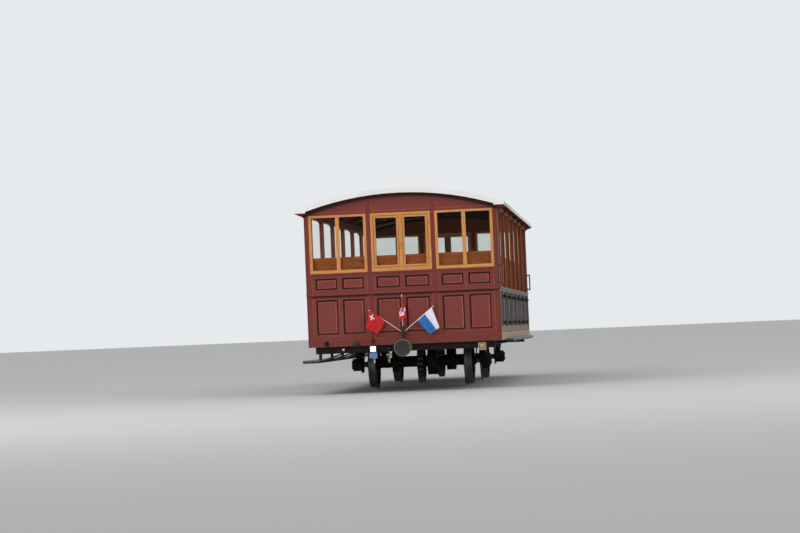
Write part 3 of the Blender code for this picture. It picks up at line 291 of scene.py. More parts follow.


# The sides: red-brown posts with varnished inner halves, dark boards below with a khaki band at their foot;
# the grey-brown waist rail is a painted reflection of the sky and the tan sill a painted reflection of the
# pavement

sidePaint = {"post": (118, 54, 40), "postWorn": (142, 74, 54), "varnish": (182, 112, 58),
             "varnishDark": (126, 70, 34), "board": (50, 40, 34), "boardLight": (66, 54, 46),
             "waist": (104, 94, 82), "sill": (160, 132, 100), "khaki": (140, 130, 96), "iron": (34, 31, 30),
             "split": 0.03, "waistBand": (1.383, 1.46), "khakiBand": (0.785, 0.873), "strap": 0.005,
             "lever": 0.016}


def boardTints(made):
    # Height, distance from the middle, grain, painted boards outside and varnished ones inside
    look, grain = sidePaint, noise(made, 22.0, 5.0, (4, 4, 0.22), 0.5)
    boards = mix(fade(grain, 0.35, 0.65), look["board"], look["boardLight"])
    wood = mix(grain, look["varnish"], look["varnishDark"])
    return axisOf(made, "Z"), unsigned(axisOf(made, "X")), grain, boards, wood


def sidePaintFinish():
    made, look = newFinish("sideTimberPaint", 0.42, Specular_IOR_Level=0.2), sidePaint
    height, across, grain, boards, wood = boardTints(made)
    (waistLow, waistHigh), (khakiLow, khakiHigh) = look["waistBand"], look["khakiBand"]
    patches = noise(made, 4.0)
    inner = fade(across, halfBody - look["split"] + 0.002, halfBody - look["split"])
    upper = mix(inner, mix(patchy(patches), look["post"], look["postWorn"]), wood)
    # Painted sky reflection: the grey-brown waist band
    paint = mix(fade(height, up(waistLow), up(waistLow) + 0.004), mix(inner, boards, wood), look["waist"])
    paint = mix(fade(height, up(waistHigh), up(waistHigh) + 0.004), paint, upper)
    foot = band(height, up(khakiLow), up(khakiHigh), 0.003)
    paint = mix(times(foot, fade(inner, 1.0, 0.0)), paint, look["khaki"])
    # Painted pavement reflection: the tan sill below the khaki band
    paint = mix(fade(height, up(khakiLow), up(khakiLow) - 0.004), paint, look["sill"])
    finishOff(made, paint, mixValue(patches, 0.36, 0.56), grain, 0.0008, 0.3)


def doorFinish():
    made, look = newFinish("doorBoards", 0.45, Specular_IOR_Level=0.2), sidePaint
    height, across, grain, boards, wood = boardTints(made)
    waist, split = up(look["waistBand"][0]), halfBody - look["split"]
    paint = mix(fade(across, split + 0.001, split - 0.001), boards, wood)
    # Painted sky reflection: the grey-brown waist colour above the boards
    paint = mix(fade(height, waist, waist + 0.004), paint, look["waist"])
    foot = times(band(height, *[up(edge) for edge in look["khakiBand"]], 0.003),
                 fade(across, split - 0.001, split + 0.001))
    paint = mix(foot, paint, look["khaki"])
    strap, lever = [fade(across, halfBody + out - 0.0005, halfBody + out + 0.0005)
                    for out in (look["strap"], look["lever"])]
    paint = mix(larger(times(strap, fade(height, waist - 0.02, waist - 0.021)), lever), paint, look["iron"])
    finishOff(made, paint, mixValue(grain, 0.34, 0.54), grain, 0.0008, 0.3)


# Clear-varnished hardwood: grain runs up the stiles and along the rails

honeyWood = {"light": (228, 160, 84), "dark": (188, 112, 46), "end": (130, 74, 34), "gap": (92, 46, 22),
             "low": 1.738, "high": 2.5865, "sideRails": (0.046, 0.034), "middleHalf": 0.4385,
             "middleRails": (0.088, 0.073), "gapFace": 4.4985}


def honeyWoodFinish():
    made, look = newFinish("varnishedHardwood", 0.28, Coat_Weight=0.35, Coat_Roughness=0.12), honeyWood
    height, low, high = axisOf(made, "Z"), up(look["low"]), up(look["high"])
    middle = fade(unsigned(axisOf(made, "X")), look["middleHalf"], look["middleHalf"] - 0.002)
    sides, casements = [plus(fade(height, low + bottom + 0.002, low + bottom),
                             fade(height, high - top, high - top + 0.002))
                        for bottom, top in (look["sideRails"], look["middleRails"])]
    upright, level = [noise(made, 16.0, 6.0, stretch, 1.2) for stretch in ((7, 4, 0.35), (0.35, 4, 7))]
    grain = mixValue(mixValue(middle, sides, casements), upright, level)
    wood = mix(fade(grain, 0.32, 0.72), look["light"], look["dark"])
    pores = fade(noise(made, 90.0, 2.0, (3, 3, 0.1)), 0.62, 0.7)
    wood = mix(times(pores, 0.35), wood, look["end"])
    # Painted shade in the groove round the middle window's casements
    gap = band(unsigned(axisOf(made, "Y")), look["gapFace"] - 0.006, look["gapFace"] - 0.0006, 0.0005)
    wood = mix(times(times(middle, gap), 0.85), wood, look["gap"])
    finishOff(made, wood, mixValue(grain, 0.22, 0.36), grain, 0.0005, 0.3)


# Bench slats and backs, floor boards

benchWood = {"light": (214, 116, 46), "dark": (158, 76, 28), "worn": (216, 140, 78), "topRail": (1.26, 1.30)}
floorWood = {"light": (118, 96, 76), "dark": (74, 58, 46), "joint": (22, 16, 12), "board": 0.11, "from": 5.0}


def benchFinish():
    made, look = newFinish("benchWood", 0.34, Specular_IOR_Level=0.3), benchWood
    grain = noise(made, 12.0, 6.0, (0.3, 6, 6), 0.9)
    wood = mix(fade(grain, 0.3, 0.72), look["light"], look["dark"])
    worn = band(axisOf(made, "Z"), *[up(edge) for edge in look["topRail"]], 0.01)
    wood = mix(times(times(worn, patchy(noise(made, 3.0))), 0.5), wood, look["worn"])
    finishOff(made, wood, mixValue(grain, 0.26, 0.46), grain, 0.0006, 0.3)


def floorFinish():
    made, look = newFinish("floorBoards", 0.75), floorWood
    joint = jointLines(maths("DIVIDE", plus(axisOf(made, "X"), look["from"]), look["board"]), 0.03)
    grain = noise(made, 10.0, 6.0, (6, 0.3, 6), 0.7)
    wood = mix(joint, mix(grain, look["light"], look["dark"]), look["joint"])
    finishOff(made, wood, mixValue(grain, 0.65, 0.85), minus(times(grain, 0.3), joint), 0.003, 0.6)


# Roof: painted canvas above, red-brown boards under the overhang, varnished lining inside

roofLook = {"canvas": (246, 244, 242), "soil": (196, 190, 180), "soffit": (112, 56, 44),
            "lining": (72, 42, 26), "liningDark": (46, 27, 17), "joint": (40, 22, 14), "board": 0.085,
            "eaveBead": 0.014, "eaveIn": 0.06}


def roofFinish():
    made, look = newFinish("roofCanvas", 0.62, Specular_IOR_Level=0.2), roofLook
    across, along, slope = axisOf(made, "X"), axisOf(made, "Y"), slopeOf(made)["Z"]
    wide, long, end = unsigned(across), unsigned(along), coach["lining"]
    covered = times(fade(wide, halfBody - 0.01, halfBody - 0.012), fade(long, end, end - 0.002))
    under = larger(fade(slope, -0.5, -0.6), times(covered, fade(slope, 0.5, 0.4)))
    soil = times(fade(noise(made, 2.2, 6.0, (1, 0.4, 1)), 0.42, 0.78), 0.3)
    seam = jointLines(plus(maths("DIVIDE", along, coach["bay"]), 10.5), 0.012, 0.004)
    canvas = mix(times(seam, 0.35), mix(soil, look["canvas"], look["soil"]), look["soil"])
    joint = jointLines(plus(maths("DIVIDE", across, look["board"]), 40.5), 0.05)
    lining = mix(noise(made, 12.0, 5.0, (6, 0.3, 6), 0.7), look["lining"], look["liningDark"])
    outside = larger(fade(wide, halfBody - 0.01, halfBody), fade(long, end - 0.01, end))
    lining = mix(times(joint, 0.8), mix(outside, lining, look["soffit"]), look["joint"])
    # The eaves' lower edge carries a painted bead
    beadTop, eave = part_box("roof")[0].z + look["eaveBead"], halfBody - look["eaveIn"]
    bead = times(fade(wide, eave, eave + 0.005), fade(axisOf(made, "Z"), beadTop, beadTop - 0.003))
    colour = mix(under, mix(bead, canvas, look["soffit"]), lining)
    height = mixValue(under, plus(times(noise(made, 55.0, 3.0), 0.12), seam), minus(1.0, joint))
    finishOff(made, colour, None, height, 0.003, 0.5)


# Black underframe with brown road dust, wheels with bright treads

# The headstock's near-black is its dark brown paint darkened by painted shade
ironLook = {"black": (20, 19, 19), "dust": (64, 52, 43), "rust": (84, 50, 34), "tread": (120, 116, 110),
            "wheel": (46, 40, 37), "headstock": (24, 18, 17)}


def ironFinish(name, base, dust, amount, rough=0.6, metal=0.1):
    made = newFinish(name, rough, metal, Specular_IOR_Level=0.15)
    patches, specks = noise(made, 7.0, 6.0), noise(made, 70.0, 3.0)
    colour = mix(times(fade(patches, 0.4, 0.75), amount), ironLook[base], ironLook[dust])
    colour = mix(times(fade(specks, 0.62, 0.72), amount * 0.8), colour, ironLook["rust"])
    finishOff(made, colour, mixValue(patches, rough - 0.12, rough + 0.15), specks, 0.0008, 0.35)


# Dark grey buffers with a painted highlight round the rim and darker turned rings on the face

bufferLook = {"grey": (58, 56, 54), "worn": (76, 73, 70), "rimHighlight": (120, 116, 112), "head": (4.89, 4.90),
              "rim": (0.112, 0.126), "rings": ((0.100, 0.104), (0.052, 0.056))}


def bufferFinish():
    made, look = newFinish("bufferGrey", 0.5, 0.1, Specular_IOR_Level=0.15), bufferLook
    patches, specks = noise(made, 7.0, 6.0), noise(made, 70.0, 3.0)
    colour = mix(times(fade(patches, 0.4, 0.75), 0.6), look["grey"], look["worn"])
    across, rise = axisOf(made, "X"), minus(axisOf(made, "Z"), up(buffer["height"]))
    radius = maths("SQRT", plus(times(across, across), times(rise, rise)))
    head = fade(unsigned(axisOf(made, "Y")), *look["head"])
    colour = mix(times(times(head, band(radius, *look["rim"], 0.004)), 0.7), colour, look["rimHighlight"])
    rings = plus(*[band(radius, *ring, 0.003) for ring in look["rings"]])
    colour = mix(times(times(head, rings), 0.5), colour, ironLook["black"])
    finishOff(made, colour, mixValue(patches, 0.4, 0.65), specks, 0.0008, 0.35)


# Step boards: weathered grey tops, dark sides worn grey at the edge; the left one hangs low

stepLook = {"top": (156, 152, 158), "topDark": (112, 108, 112), "side": (24, 20, 19),
            "sideLight": (40, 35, 33), "edge": (112, 114, 124), "heights": (0.485, 0.687),
            "edgeDepth": 0.016}


def stepFinish():
    made, look = newFinish("stepBoards", 0.45), stepLook
    grain, height = noise(made, 12.0, 6.0, (6, 0.3, 6), 0.6), axisOf(made, "Z")
    edges = [band(height, up(top - look["edgeDepth"]), up(top), 0.008) for top in look["heights"]]
    side = mix(times(larger(*edges), 0.8), mix(grain, look["side"], look["sideLight"]), look["edge"])
    top = mix(grain, look["top"], look["topDark"])
    finishOff(made, mix(fade(slopeOf(made)["Z"], 0.6, 0.8), side, top), None, grain, 0.0012, 0.5)


glassLook = {"clear": (236, 238, 236), "smeared": (222, 226, 223), "bend": 1.12}


def glassFinish():
    made, look = newFinish("windowGlass", 0.03, Transmission_Weight=1.0, IOR=glassLook["bend"]), glassLook
    smears = noise(made, 5.0, 4.0, (1, 1, 2))
    finishOff(made, mix(smears, look["clear"], look["smeared"]), mixValue(smears, 0.0, 0.06))


# Flag cloths: a white cross, a small white cross in the corner, white over blue

flagLook = {"red": ((216, 12, 22), (176, 8, 16)), "sleeve": ((208, 26, 32), (176, 18, 26)),
            "whiteSleeve": ((236, 232, 242), (214, 210, 226)), "blue": ((28, 122, 196), (20, 96, 168)),
            "white": (240, 236, 244), "cross": ((0.5, 0.5), 0.30, 0.095),
            "cornerCross": ((0.78, 0.27), 0.165, 0.027), "halves": (0.49, 0.20)}


def clothFinish(name, tints, pattern=None):
    # pattern gives the share of white from the places along the pole and out from it
    made = newFinish(name, 0.85, Sheen_Weight=0.25)
    colour = mix(fade(noise(made, 14.0, 3.0), 0.35, 0.7), *flagLook[tints])
    if pattern:
        spot = axesOf(spotOf(made, "UV"))
        colour = mix(pattern(spot["X"], spot["Y"]), colour, flagLook["white"])
    finishOff(made, colour, None, noise(made, 900.0, 1.0), 0.0003, 0.3)


def crossPattern(middle, reach, arm):
    def cross(along, out):
        offs = unsigned(minus(along, middle[0])), unsigned(minus(out, middle[1]))
        return larger(*[times(fade(offs[bar], reach + 0.006, reach), fade(offs[1 - bar], arm + 0.006, arm))
                        for bar in (0, 1)])
    return cross


def halvesPattern(along, out):
    start, slant = flagLook["halves"]
    return fade(minus(along, plus(times(out, slant), start)), -0.004, 0.004)


# Painted and bare small parts: colour, its worn shade, roughness, metal

plainLooks = {
    "lampShell": ((150, 156, 166), (110, 116, 126), 0.35, 0.5),
    "lampBlue": ((112, 152, 200), (74, 112, 160), 0.3, 0),
    "lampLit": ((250, 250, 246), (240, 242, 240), 0.15, 0),
    "amberLens": ((236, 164, 44), (214, 130, 26), 0.12, 0),
    "markerWhite": ((158, 152, 146), (128, 122, 116), 0.4, 0),
    "agedBrass": ((206, 150, 84), (170, 118, 60), 0.35, 0.5),
    "fittingIron": ((44, 40, 38), (70, 60, 52), 0.42, 0.4),
    "grabRailPaint": ((124, 62, 48), (150, 90, 70), 0.35, 0),
    "socketEnamel": ((58, 52, 50), (36, 33, 32), 0.35, 0.3),
    "paleEnamel": ((196, 190, 180), (160, 152, 142), 0.35, 0),
    "flagPole": ((232, 212, 196), (206, 182, 164), 0.5, 0)}
plainSockets = {"lampLit": {"Emission_Color": (1, 0.98, 0.94, 1), "Emission_Strength": 1.6},
                "amberLens": {"Coat_Weight": 0.5}}


def plainFinish(name, base, worn, rough, metal):
    made = newFinish(name, rough, metal, **plainSockets.get(name, {}))
    patches = noise(made, 30.0)
    finishOff(made, mix(patchy(patches), base, worn), mixValue(patches, rough * 0.8, rough * 1.3), patches)


# Black flag holder with cream poles beyond it; black hose above a pale head that is worn bare at its tip

holderLook = {"black": (20, 20, 21), "worn": (34, 34, 35), "half": 0.0285, "top": 0.9305}
couplingLook = {"head": (150, 158, 100), "worn": (96, 98, 78), "tail": (186, 186, 172), "hose": (24, 23, 22),
                "headTop": 0.535, "tailTop": 0.47}


def standFinish():
    made, look = newFinish("holderBlack", 0.4), holderLook
    half, top = look["half"], up(look["top"])
    beside = fade(unsigned(plus(axisOf(made, "X"), -flagStand["x"])), half - 0.0003, half + 0.0003)
    pole = larger(beside, fade(axisOf(made, "Z"), top - 0.0003, top + 0.0003))
    patches = noise(made, 30.0)
    colour = mix(pole, mix(patchy(patches), look["black"], look["worn"]), plainLooks["flagPole"][0])
    finishOff(made, colour, mixValue(patches, 0.32, 0.52), patches)


def couplingFinish():
    made, look = newFinish("couplingPaint", 0.5), couplingLook
    height, patches = axisOf(made, "Z"), noise(made, 30.0)
    tail, head = up(look["tailTop"]), up(look["headTop"])
    colour = mix(fade(height, tail + 0.01, tail), look["head"], look["tail"])
    colour = mix(times(patchy(patches), 0.5), colour, look["worn"])
    finishOff(made, mix(fade(height, head, head + 0.004), colour, look["hose"]), None, patches)


# Modelling helpers: a primitive at its size and place, then edit-mode steps on chosen faces

axisTurn = {"X": (0, math.pi / 2, 0), "Y": (math.pi / 2, 0, 0), "Z": (0, 0, 0)}


def coat(piece, *names):
    piece.data.materials.clear()
    for name in names:
        piece.data.materials.append(finish[name])


def deselect():
    bpy.ops.object.select_all(action="DESELECT")


def settle(name):
    # The new primitive's place goes into its mesh, so its object stays at the origin
    bpy.ops.object.transform_apply(location=True, rotation=True, scale=True)
    piece = bpy.context.object
    piece.name = piece.data.name = name
    return piece


def addRound(name, radius, length, at, along="Z", sides=48):
    deselect()
    bpy.ops.mesh.primitive_cylinder_add(vertices=sides, radius=radius, depth=length, location=at,
                                        rotation=axisTurn[along])
    return settle(name)


def addBox(name, low, high):
    deselect()
    low, high = Vector(low), Vector(high)
    bpy.ops.mesh.primitive_cube_add(size=1, location=(low + high) / 2, scale=high - low)
    return settle(name)


def addGrid(name, cells, at, along="Z", size=(1, 1, 1)):
    deselect()
    bpy.ops.mesh.primitive_grid_add(x_subdivisions=cells, y_subdivisions=cells, size=1, location=at,
                                    rotation=axisTurn[along])
    bpy.context.object.scale = size
    return settle(name)


def lay(piece, way, at):
    # An upright mesh at the origin is turned to way and moved to at
    piece.data.transform(Matrix.Translation(at) @ way.to_track_quat("Z", "Y").to_matrix().to_4x4())


def pickOnly(piece):
    deselect()
    piece.select_set(True)
    bpy.context.view_layer.objects.active = piece


def objectMode():
    bpy.ops.object.mode_set(mode="OBJECT")


def pickFaces(piece, wanted):
    # Only the faces whose centre and normal answer to wanted are left selected, in edit mode
    pickOnly(piece)
    bpy.ops.object.mode_set(mode="EDIT")
    bpy.ops.mesh.select_mode(type="FACE")
    bpy.ops.mesh.select_all(action="DESELECT")
    objectMode()
    for face in piece.data.polygons:
        face.select = wanted(face.center, face.normal)
    bpy.ops.object.mode_set(mode="EDIT")


def facing(along, way):
    axis = "XYZ".index(along)
    return lambda spot, normal: normal[axis] * way > 0.9


def insetFaces(piece, wanted, *steps):
    # steps are (thickness, depth)
    pickFaces(piece, wanted)
    for thickness, depth in steps:
        bpy.ops.mesh.inset(thickness=thickness, depth=depth)
    objectMode()


def turnEnd(piece, along, way, steps, centre, first):
    # The end face is extruded and resized step by step, as on a lathe; steps are (radius, place)
    axis = "XYZ".index(along)
    reach = max(vertex.co[axis] * way for vertex in piece.data.vertices)
    pickFaces(piece, lambda spot, normal: normal[axis] * way > 0.9 and spot[axis] * way > reach - 1e-5)
    radius, place = first, reach * way
    for nextRadius, nextPlace in steps:
        shift, size, middle = [0, 0, 0], [nextRadius / radius] * 3, list(centre)
        shift[axis], size[axis], middle[axis] = nextPlace - place, 1, nextPlace
        bpy.ops.mesh.extrude_region_move(TRANSFORM_OT_translate={"value": shift})
        bpy.ops.transform.resize(value=size, center_override=middle)
        radius, place = nextRadius, nextPlace
    objectMode()


def shadeSmooth(piece, angle):
    pickOnly(piece)
    bpy.ops.object.shade_smooth_by_angle(angle=math.radians(angle))
    return piece


def soften(piece, width=0.002, segments=2, angle=35):
    pickOnly(piece)
    rim = piece.modifiers.new("softEdges", "BEVEL")
    rim.width, rim.segments, rim.limit_method, rim.angle_limit = width, segments, "ANGLE", math.radians(angle)
    bpy.ops.object.modifier_apply(modifier=rim.name)
    return shadeSmooth(piece, angle)


def thicken(piece, thickness, angle):
    pickOnly(piece)
    wall = piece.modifiers.new("thickness", "SOLIDIFY")
    wall.thickness, wall.offset = thickness, 0
    bpy.ops.object.modifier_apply(modifier=wall.name)
    return shadeSmooth(piece, angle)


def joinPieces(name, pieces):
    pickOnly(pieces[0])
    for piece in pieces:
        piece.select_set(True)
    bpy.ops.object.join()
    pieces[0].name = pieces[0].data.name = name
    return pieces[0]


def copyTo(piece, shift):
    # A copy with its own mesh, moved by shift
    pickOnly(piece)
    bpy.ops.object.duplicate()
    twin = bpy.context.object
    twin.location = Vector(shift)
    bpy.ops.object.transform_apply(location=True, rotation=False, scale=False)
    return twin


def mirrorCopy(piece, along):
    # A mirrored copy, with its faces turned out again
    twin = copyTo(piece, (0, 0, 0))
    twin.scale["XYZ".index(along)] = -1
    bpy.ops.object.transform_apply(location=False, rotation=False, scale=True)
    bpy.ops.object.mode_set(mode="EDIT")
    bpy.ops.mesh.select_all(action="SELECT")
    bpy.ops.mesh.normals_make_consistent(inside=False)
    objectMode()
    return twin


def paintFaces(piece, index, wanted):
    for face in piece.data.polygons:
        if wanted(face.center, face.normal):
            face.material_index = index


def place(piece, coats, slotName, *replaced, body="root"):
    if coats:
        coat(piece, coats)
    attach(piece, body)
    if replaced:
        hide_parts(*replaced)


def makeBolt(name, at, along, way, size):
    # Hexagon head with a turned top
    bolt = addRound(name, size, size * 0.9, at, along, 6)
    insetFaces(bolt, facing(along, way), (size * 0.18, size * 0.12))
    return bolt


def domeBolt(name, at, along, way, size, sides=12):
    bolt = addRound(name, size, size * 0.3, at, along, sides)
    foot = at["XYZ".index(along)]
    steps = [(size * share, foot + way * size * out)
             for share, out in ((0.88, 0.42), (0.6, 0.62), (0.25, 0.70))]
    turnEnd(bolt, along, way, steps, at, size)
    return bolt


# Wheelsets: flanged wheels with dished webs, rack cog, brake drum and journals on one axle

wheelSet = {"axle": 0.065, "seat": 0.072, "journal": 0.042, "journalEnd": 1.015, "shoulder": 0.026,
            "back": 0.68, "width": 0.125, "flange": 0.36 + railTop, "flangeWidth": 0.032, "tread": 0.36,
            "taper": 0.003, "rim": 0.305, "rimLip": 0.008, "web": 0.013, "dish": 0.02, "hub": 0.10,
            "hubWidth": 0.16, "fillet": 0.012, "drum": 0.20, "drumLip": 0.014, "drumFrom": 0.10,
            "drumWidth": 0.15, "cogRoot": 0.27, "cogTip": 0.31, "cogWidth": 0.10, "teeth": 22, "sides": 66,
            "bareEnd": 0.86}


def valuesOf(look, names):
    return [look[name] for name in names.split()]


def wheelSteps():
    # From the axle out to the journal, as (radius, distance from the middle)
    axle, seat, journal, shoulder, back = valuesOf(wheelSet, "axle seat journal shoulder back")
    tread, flange, flangeWidth, taper, end = valuesOf(wheelSet, "tread flange flangeWidth taper journalEnd")
    hub, rim, lip, web, dish, fillet = valuesOf(wheelSet, "hub rim rimLip web dish fillet")
    face = back + wheelSet["width"]
    middle, half = (back + face) / 2, wheelSet["hubWidth"] / 2
    near, far, low, high = middle - half, middle + half, middle - dish, middle + dish
    steps = [(axle, near - 0.03), (seat, near - 0.02), (seat, near), (hub - 0.006, near), (hub, near + 0.006),
             (hub, high - web - fillet), (hub + fillet, high - web), (rim - fillet, low - web),
             (rim, low - web - fillet), (rim, back + lip), (rim + lip, back), (flange - 0.010, back)]
    for degrees in range(-60, 61, 20):
        turn = math.radians(degrees)
        steps.append((flange - 0.011 + 0.011 * math.cos(turn), back + 0.012 + 0.012 * math.sin(turn)))
    for degrees in range(0, 81, 20):
        turn = math.radians(degrees)
        rise, out = 0.016 - 0.014 * math.sin(turn), 0.001 - 0.013 * math.cos(turn)
        steps.append((tread + rise, back + flangeWidth + out))
    return steps + [
        (tread, back + flangeWidth + 0.004), (tread - taper, face - 0.005), (tread - taper - 0.005, face),
        (rim + lip, face), (rim, face - lip), (rim, low + web + fillet), (rim - fillet, low + web),
        (hub + fillet, high + web), (hub, high + web + fillet), (hub, far - 0.006), (hub - 0.006, far),
        (seat, far), (axle, far + 0.004), (axle, far + shoulder - 0.004), (axle - 0.004, far + shoulder),
        (journal + 0.004, far + shoulder), (journal, far + shoulder + 0.004), (journal, end - 0.003),
        (journal - 0.003, end)]


def drumSteps():
    axle, seat, drum, lip, low = valuesOf(wheelSet, "axle seat drum drumLip drumFrom")
    high = low + wheelSet["drumWidth"]
    return [(axle, low), (drum - lip - 0.02, low), (drum - 0.004, low), (drum, low + 0.004),
            (drum, low + lip), (drum - 0.006, low + lip), (drum - 0.006, high - lip), (drum, high - lip),
            (drum, high - 0.004), (drum - 0.004, high), (drum - 0.03, high), (drum - 0.04, high - 0.012),
            (seat + 0.03, high - 0.012), (seat + 0.02, high), (axle, high)]


def makeCog(name, centre):
    root, tip, width, teeth = valuesOf(wheelSet, "cogRoot cogTip cogWidth teeth")
    cog = addRound(name, root, width, centre, "X", teeth * 2)
    flats = [face.center.copy() for face in cog.data.polygons if abs(face.normal.x) < 0.5]
    flats.sort(key=lambda spot: math.atan2(spot.z - centre.z, spot.y - centre.y))
    pickFaces(cog, lambda spot, normal: any((spot - tooth).length < 1e-4 for tooth in flats[::2]))
    bpy.ops.mesh.extrude_faces_move(TRANSFORM_OT_shrink_fatten={"value": (tip - root) * 0.45})
    bpy.ops.mesh.inset(thickness=0.0055, depth=(tip - root) * 0.55, use_individual=True)
    objectMode()
    for way in (1, -1):
        insetFaces(cog, lambda spot, normal: normal.x * way > 0.9 and (spot - centre).yz.length < 0.05,
                   (0.035, 0), (0.008, -0.018), (0.10, 0), (0.008, 0.018))
    return soften(cog, 0.0015, 1, 40)


def makeWheelset(end, y):
    look = wheelSet
    centre = Vector((0, y, up(look["tread"])))
    body = addRound("wheelset" + end, look["axle"], 0.02, centre, "X", look["sides"])
    turnEnd(body, "X", 1, drumSteps() + wheelSteps(), centre, look["axle"])
    turnEnd(body, "X", -1, [(radius, -spot) for radius, spot in wheelSteps()], centre, look["axle"])
    shadeSmooth(body, 28)
    cog = makeCog("cog" + end, centre)
    low, high = look["back"] + 0.008, look["back"] + look["width"] - 0.004

    def isBare(spot, normal):
        # Tread and journal
        onTread = low < abs(spot.x) < high and (spot - centre).yz.length > look["tread"] - 0.006
        return onTread or abs(spot.x) > look["bareEnd"]

    def isTooth(spot, normal):
        return (spot - centre).yz.length > look["cogRoot"] + 0.004 and abs(normal.x) < 0.5

    for piece, wanted in ((body, isBare), (cog, isTooth)):
        coat(piece, "wheelIron", "treadSteel")
        paintFaces(piece, 1, wanted)
    node = "wheelset_" + end.lower()
    place(joinPieces("fineWheelset" + end, [body, cog]), None, "wheel_steel", node, body=node)


# Central buffers: round head, turned neck and flared housing on a foot plate

buffer = {"height": 0.62, "head": 0.125, "headEdge": 0.008, "crown": 0.004, "headDepth": 0.022, "back": 0.05,
          "neck": 0.045, "reach": 0.43, "housing": 0.082, "nose": 0.062, "length": 0.16, "wall": 0.032,
          "flange": 0.022, "foot": (0.11, 0.085), "footPlate": 0.03, "footInner": 4.4802, "sides": 64,
          "bolt": 0.011, "boltsAcross": (-0.085, 0.085), "boltsDown": (0.018, 0.067)}


def makeBuffer(end, way):
    # way is -1 at the leading end and 1 at the other
    look = buffer
    housing, neck, head, edge, nose, flange = valuesOf(look, "housing neck head headEdge nose flange")
    base = (coach["end"] + look["wall"]) * way
    front = (coach["end"] + look["reach"]) * way
    tip, plate = base + look["length"] * way, front - look["headDepth"] * way
    centre = Vector((0, 0, up(look["height"])))
    body = addRound("bufferBody" + end, housing, flange, (0, base + flange * way / 2, centre.z), "Y",
                    look["sides"])
    steps = [(housing - 0.012, base + flange * way), (housing - 0.014, base + (flange + 0.01) * way),
             (nose, tip - 0.006 * way), (nose - 0.004, tip), (neck + 0.004, tip), (neck, tip + 0.004 * way),
             (neck, front - look["back"] * way), (neck + 0.012, plate - 0.012 * way),
             (head - 0.03, plate - 0.003 * way), (head - edge, plate), (head, plate + edge * way),
             (head, front - edge * way), (head - 0.003, front - 0.003 * way), (head - edge, front),
             (head - 0.03, front + 0.0005 * way), (head * 0.5, front - 0.0006 * way),
             (0.01, front - look["crown"] * way)]
    turnEnd(body, "Y", way, steps, centre, housing)
    shadeSmooth(body, 28)
    half, tall = look["foot"]
    top = up(coach["sillBottom"]) - 0.0003
    outer = coach["end"] + look["wall"] + look["footPlate"]
    low, high = sorted((look["footInner"] * way, outer * way))
    foot = soften(addBox("bufferFoot" + end, (-half, low, top - tall), (half, high, top)), 0.003)
    bolts = [makeBolt("footBolt" + end, (across, (outer + 0.004) * way, top - drop), "Y", way, look["bolt"])
             for across in look["boltsAcross"] for drop in look["boltsDown"]]
    whole = joinPieces("fineBuffer" + end, [body, foot] + bolts)
    place(whole, "bufferGrey", "buffer_steel", "buffer_" + end.lower())


# Lamp on the leading end: lit lens in a bezel, wedge-shaped body below, stem and clamp

endLamp = {"x": -0.46, "lens": (0.092, 0.088), "top": 0.66, "bodyTop": 0.10, "body": (0.115, 0.095),
           "depth": 0.075, "out": 0.02, "stem": 0.008, "stemTop": 0.80, "clamp": 0.022, "clampDrop": 0.03,
           "tag": (0.022, 0.07, 0.012), "lensRim": 0.009, "lensBulge": 0.006, "lensCells": 16, "sill": 4.5183}


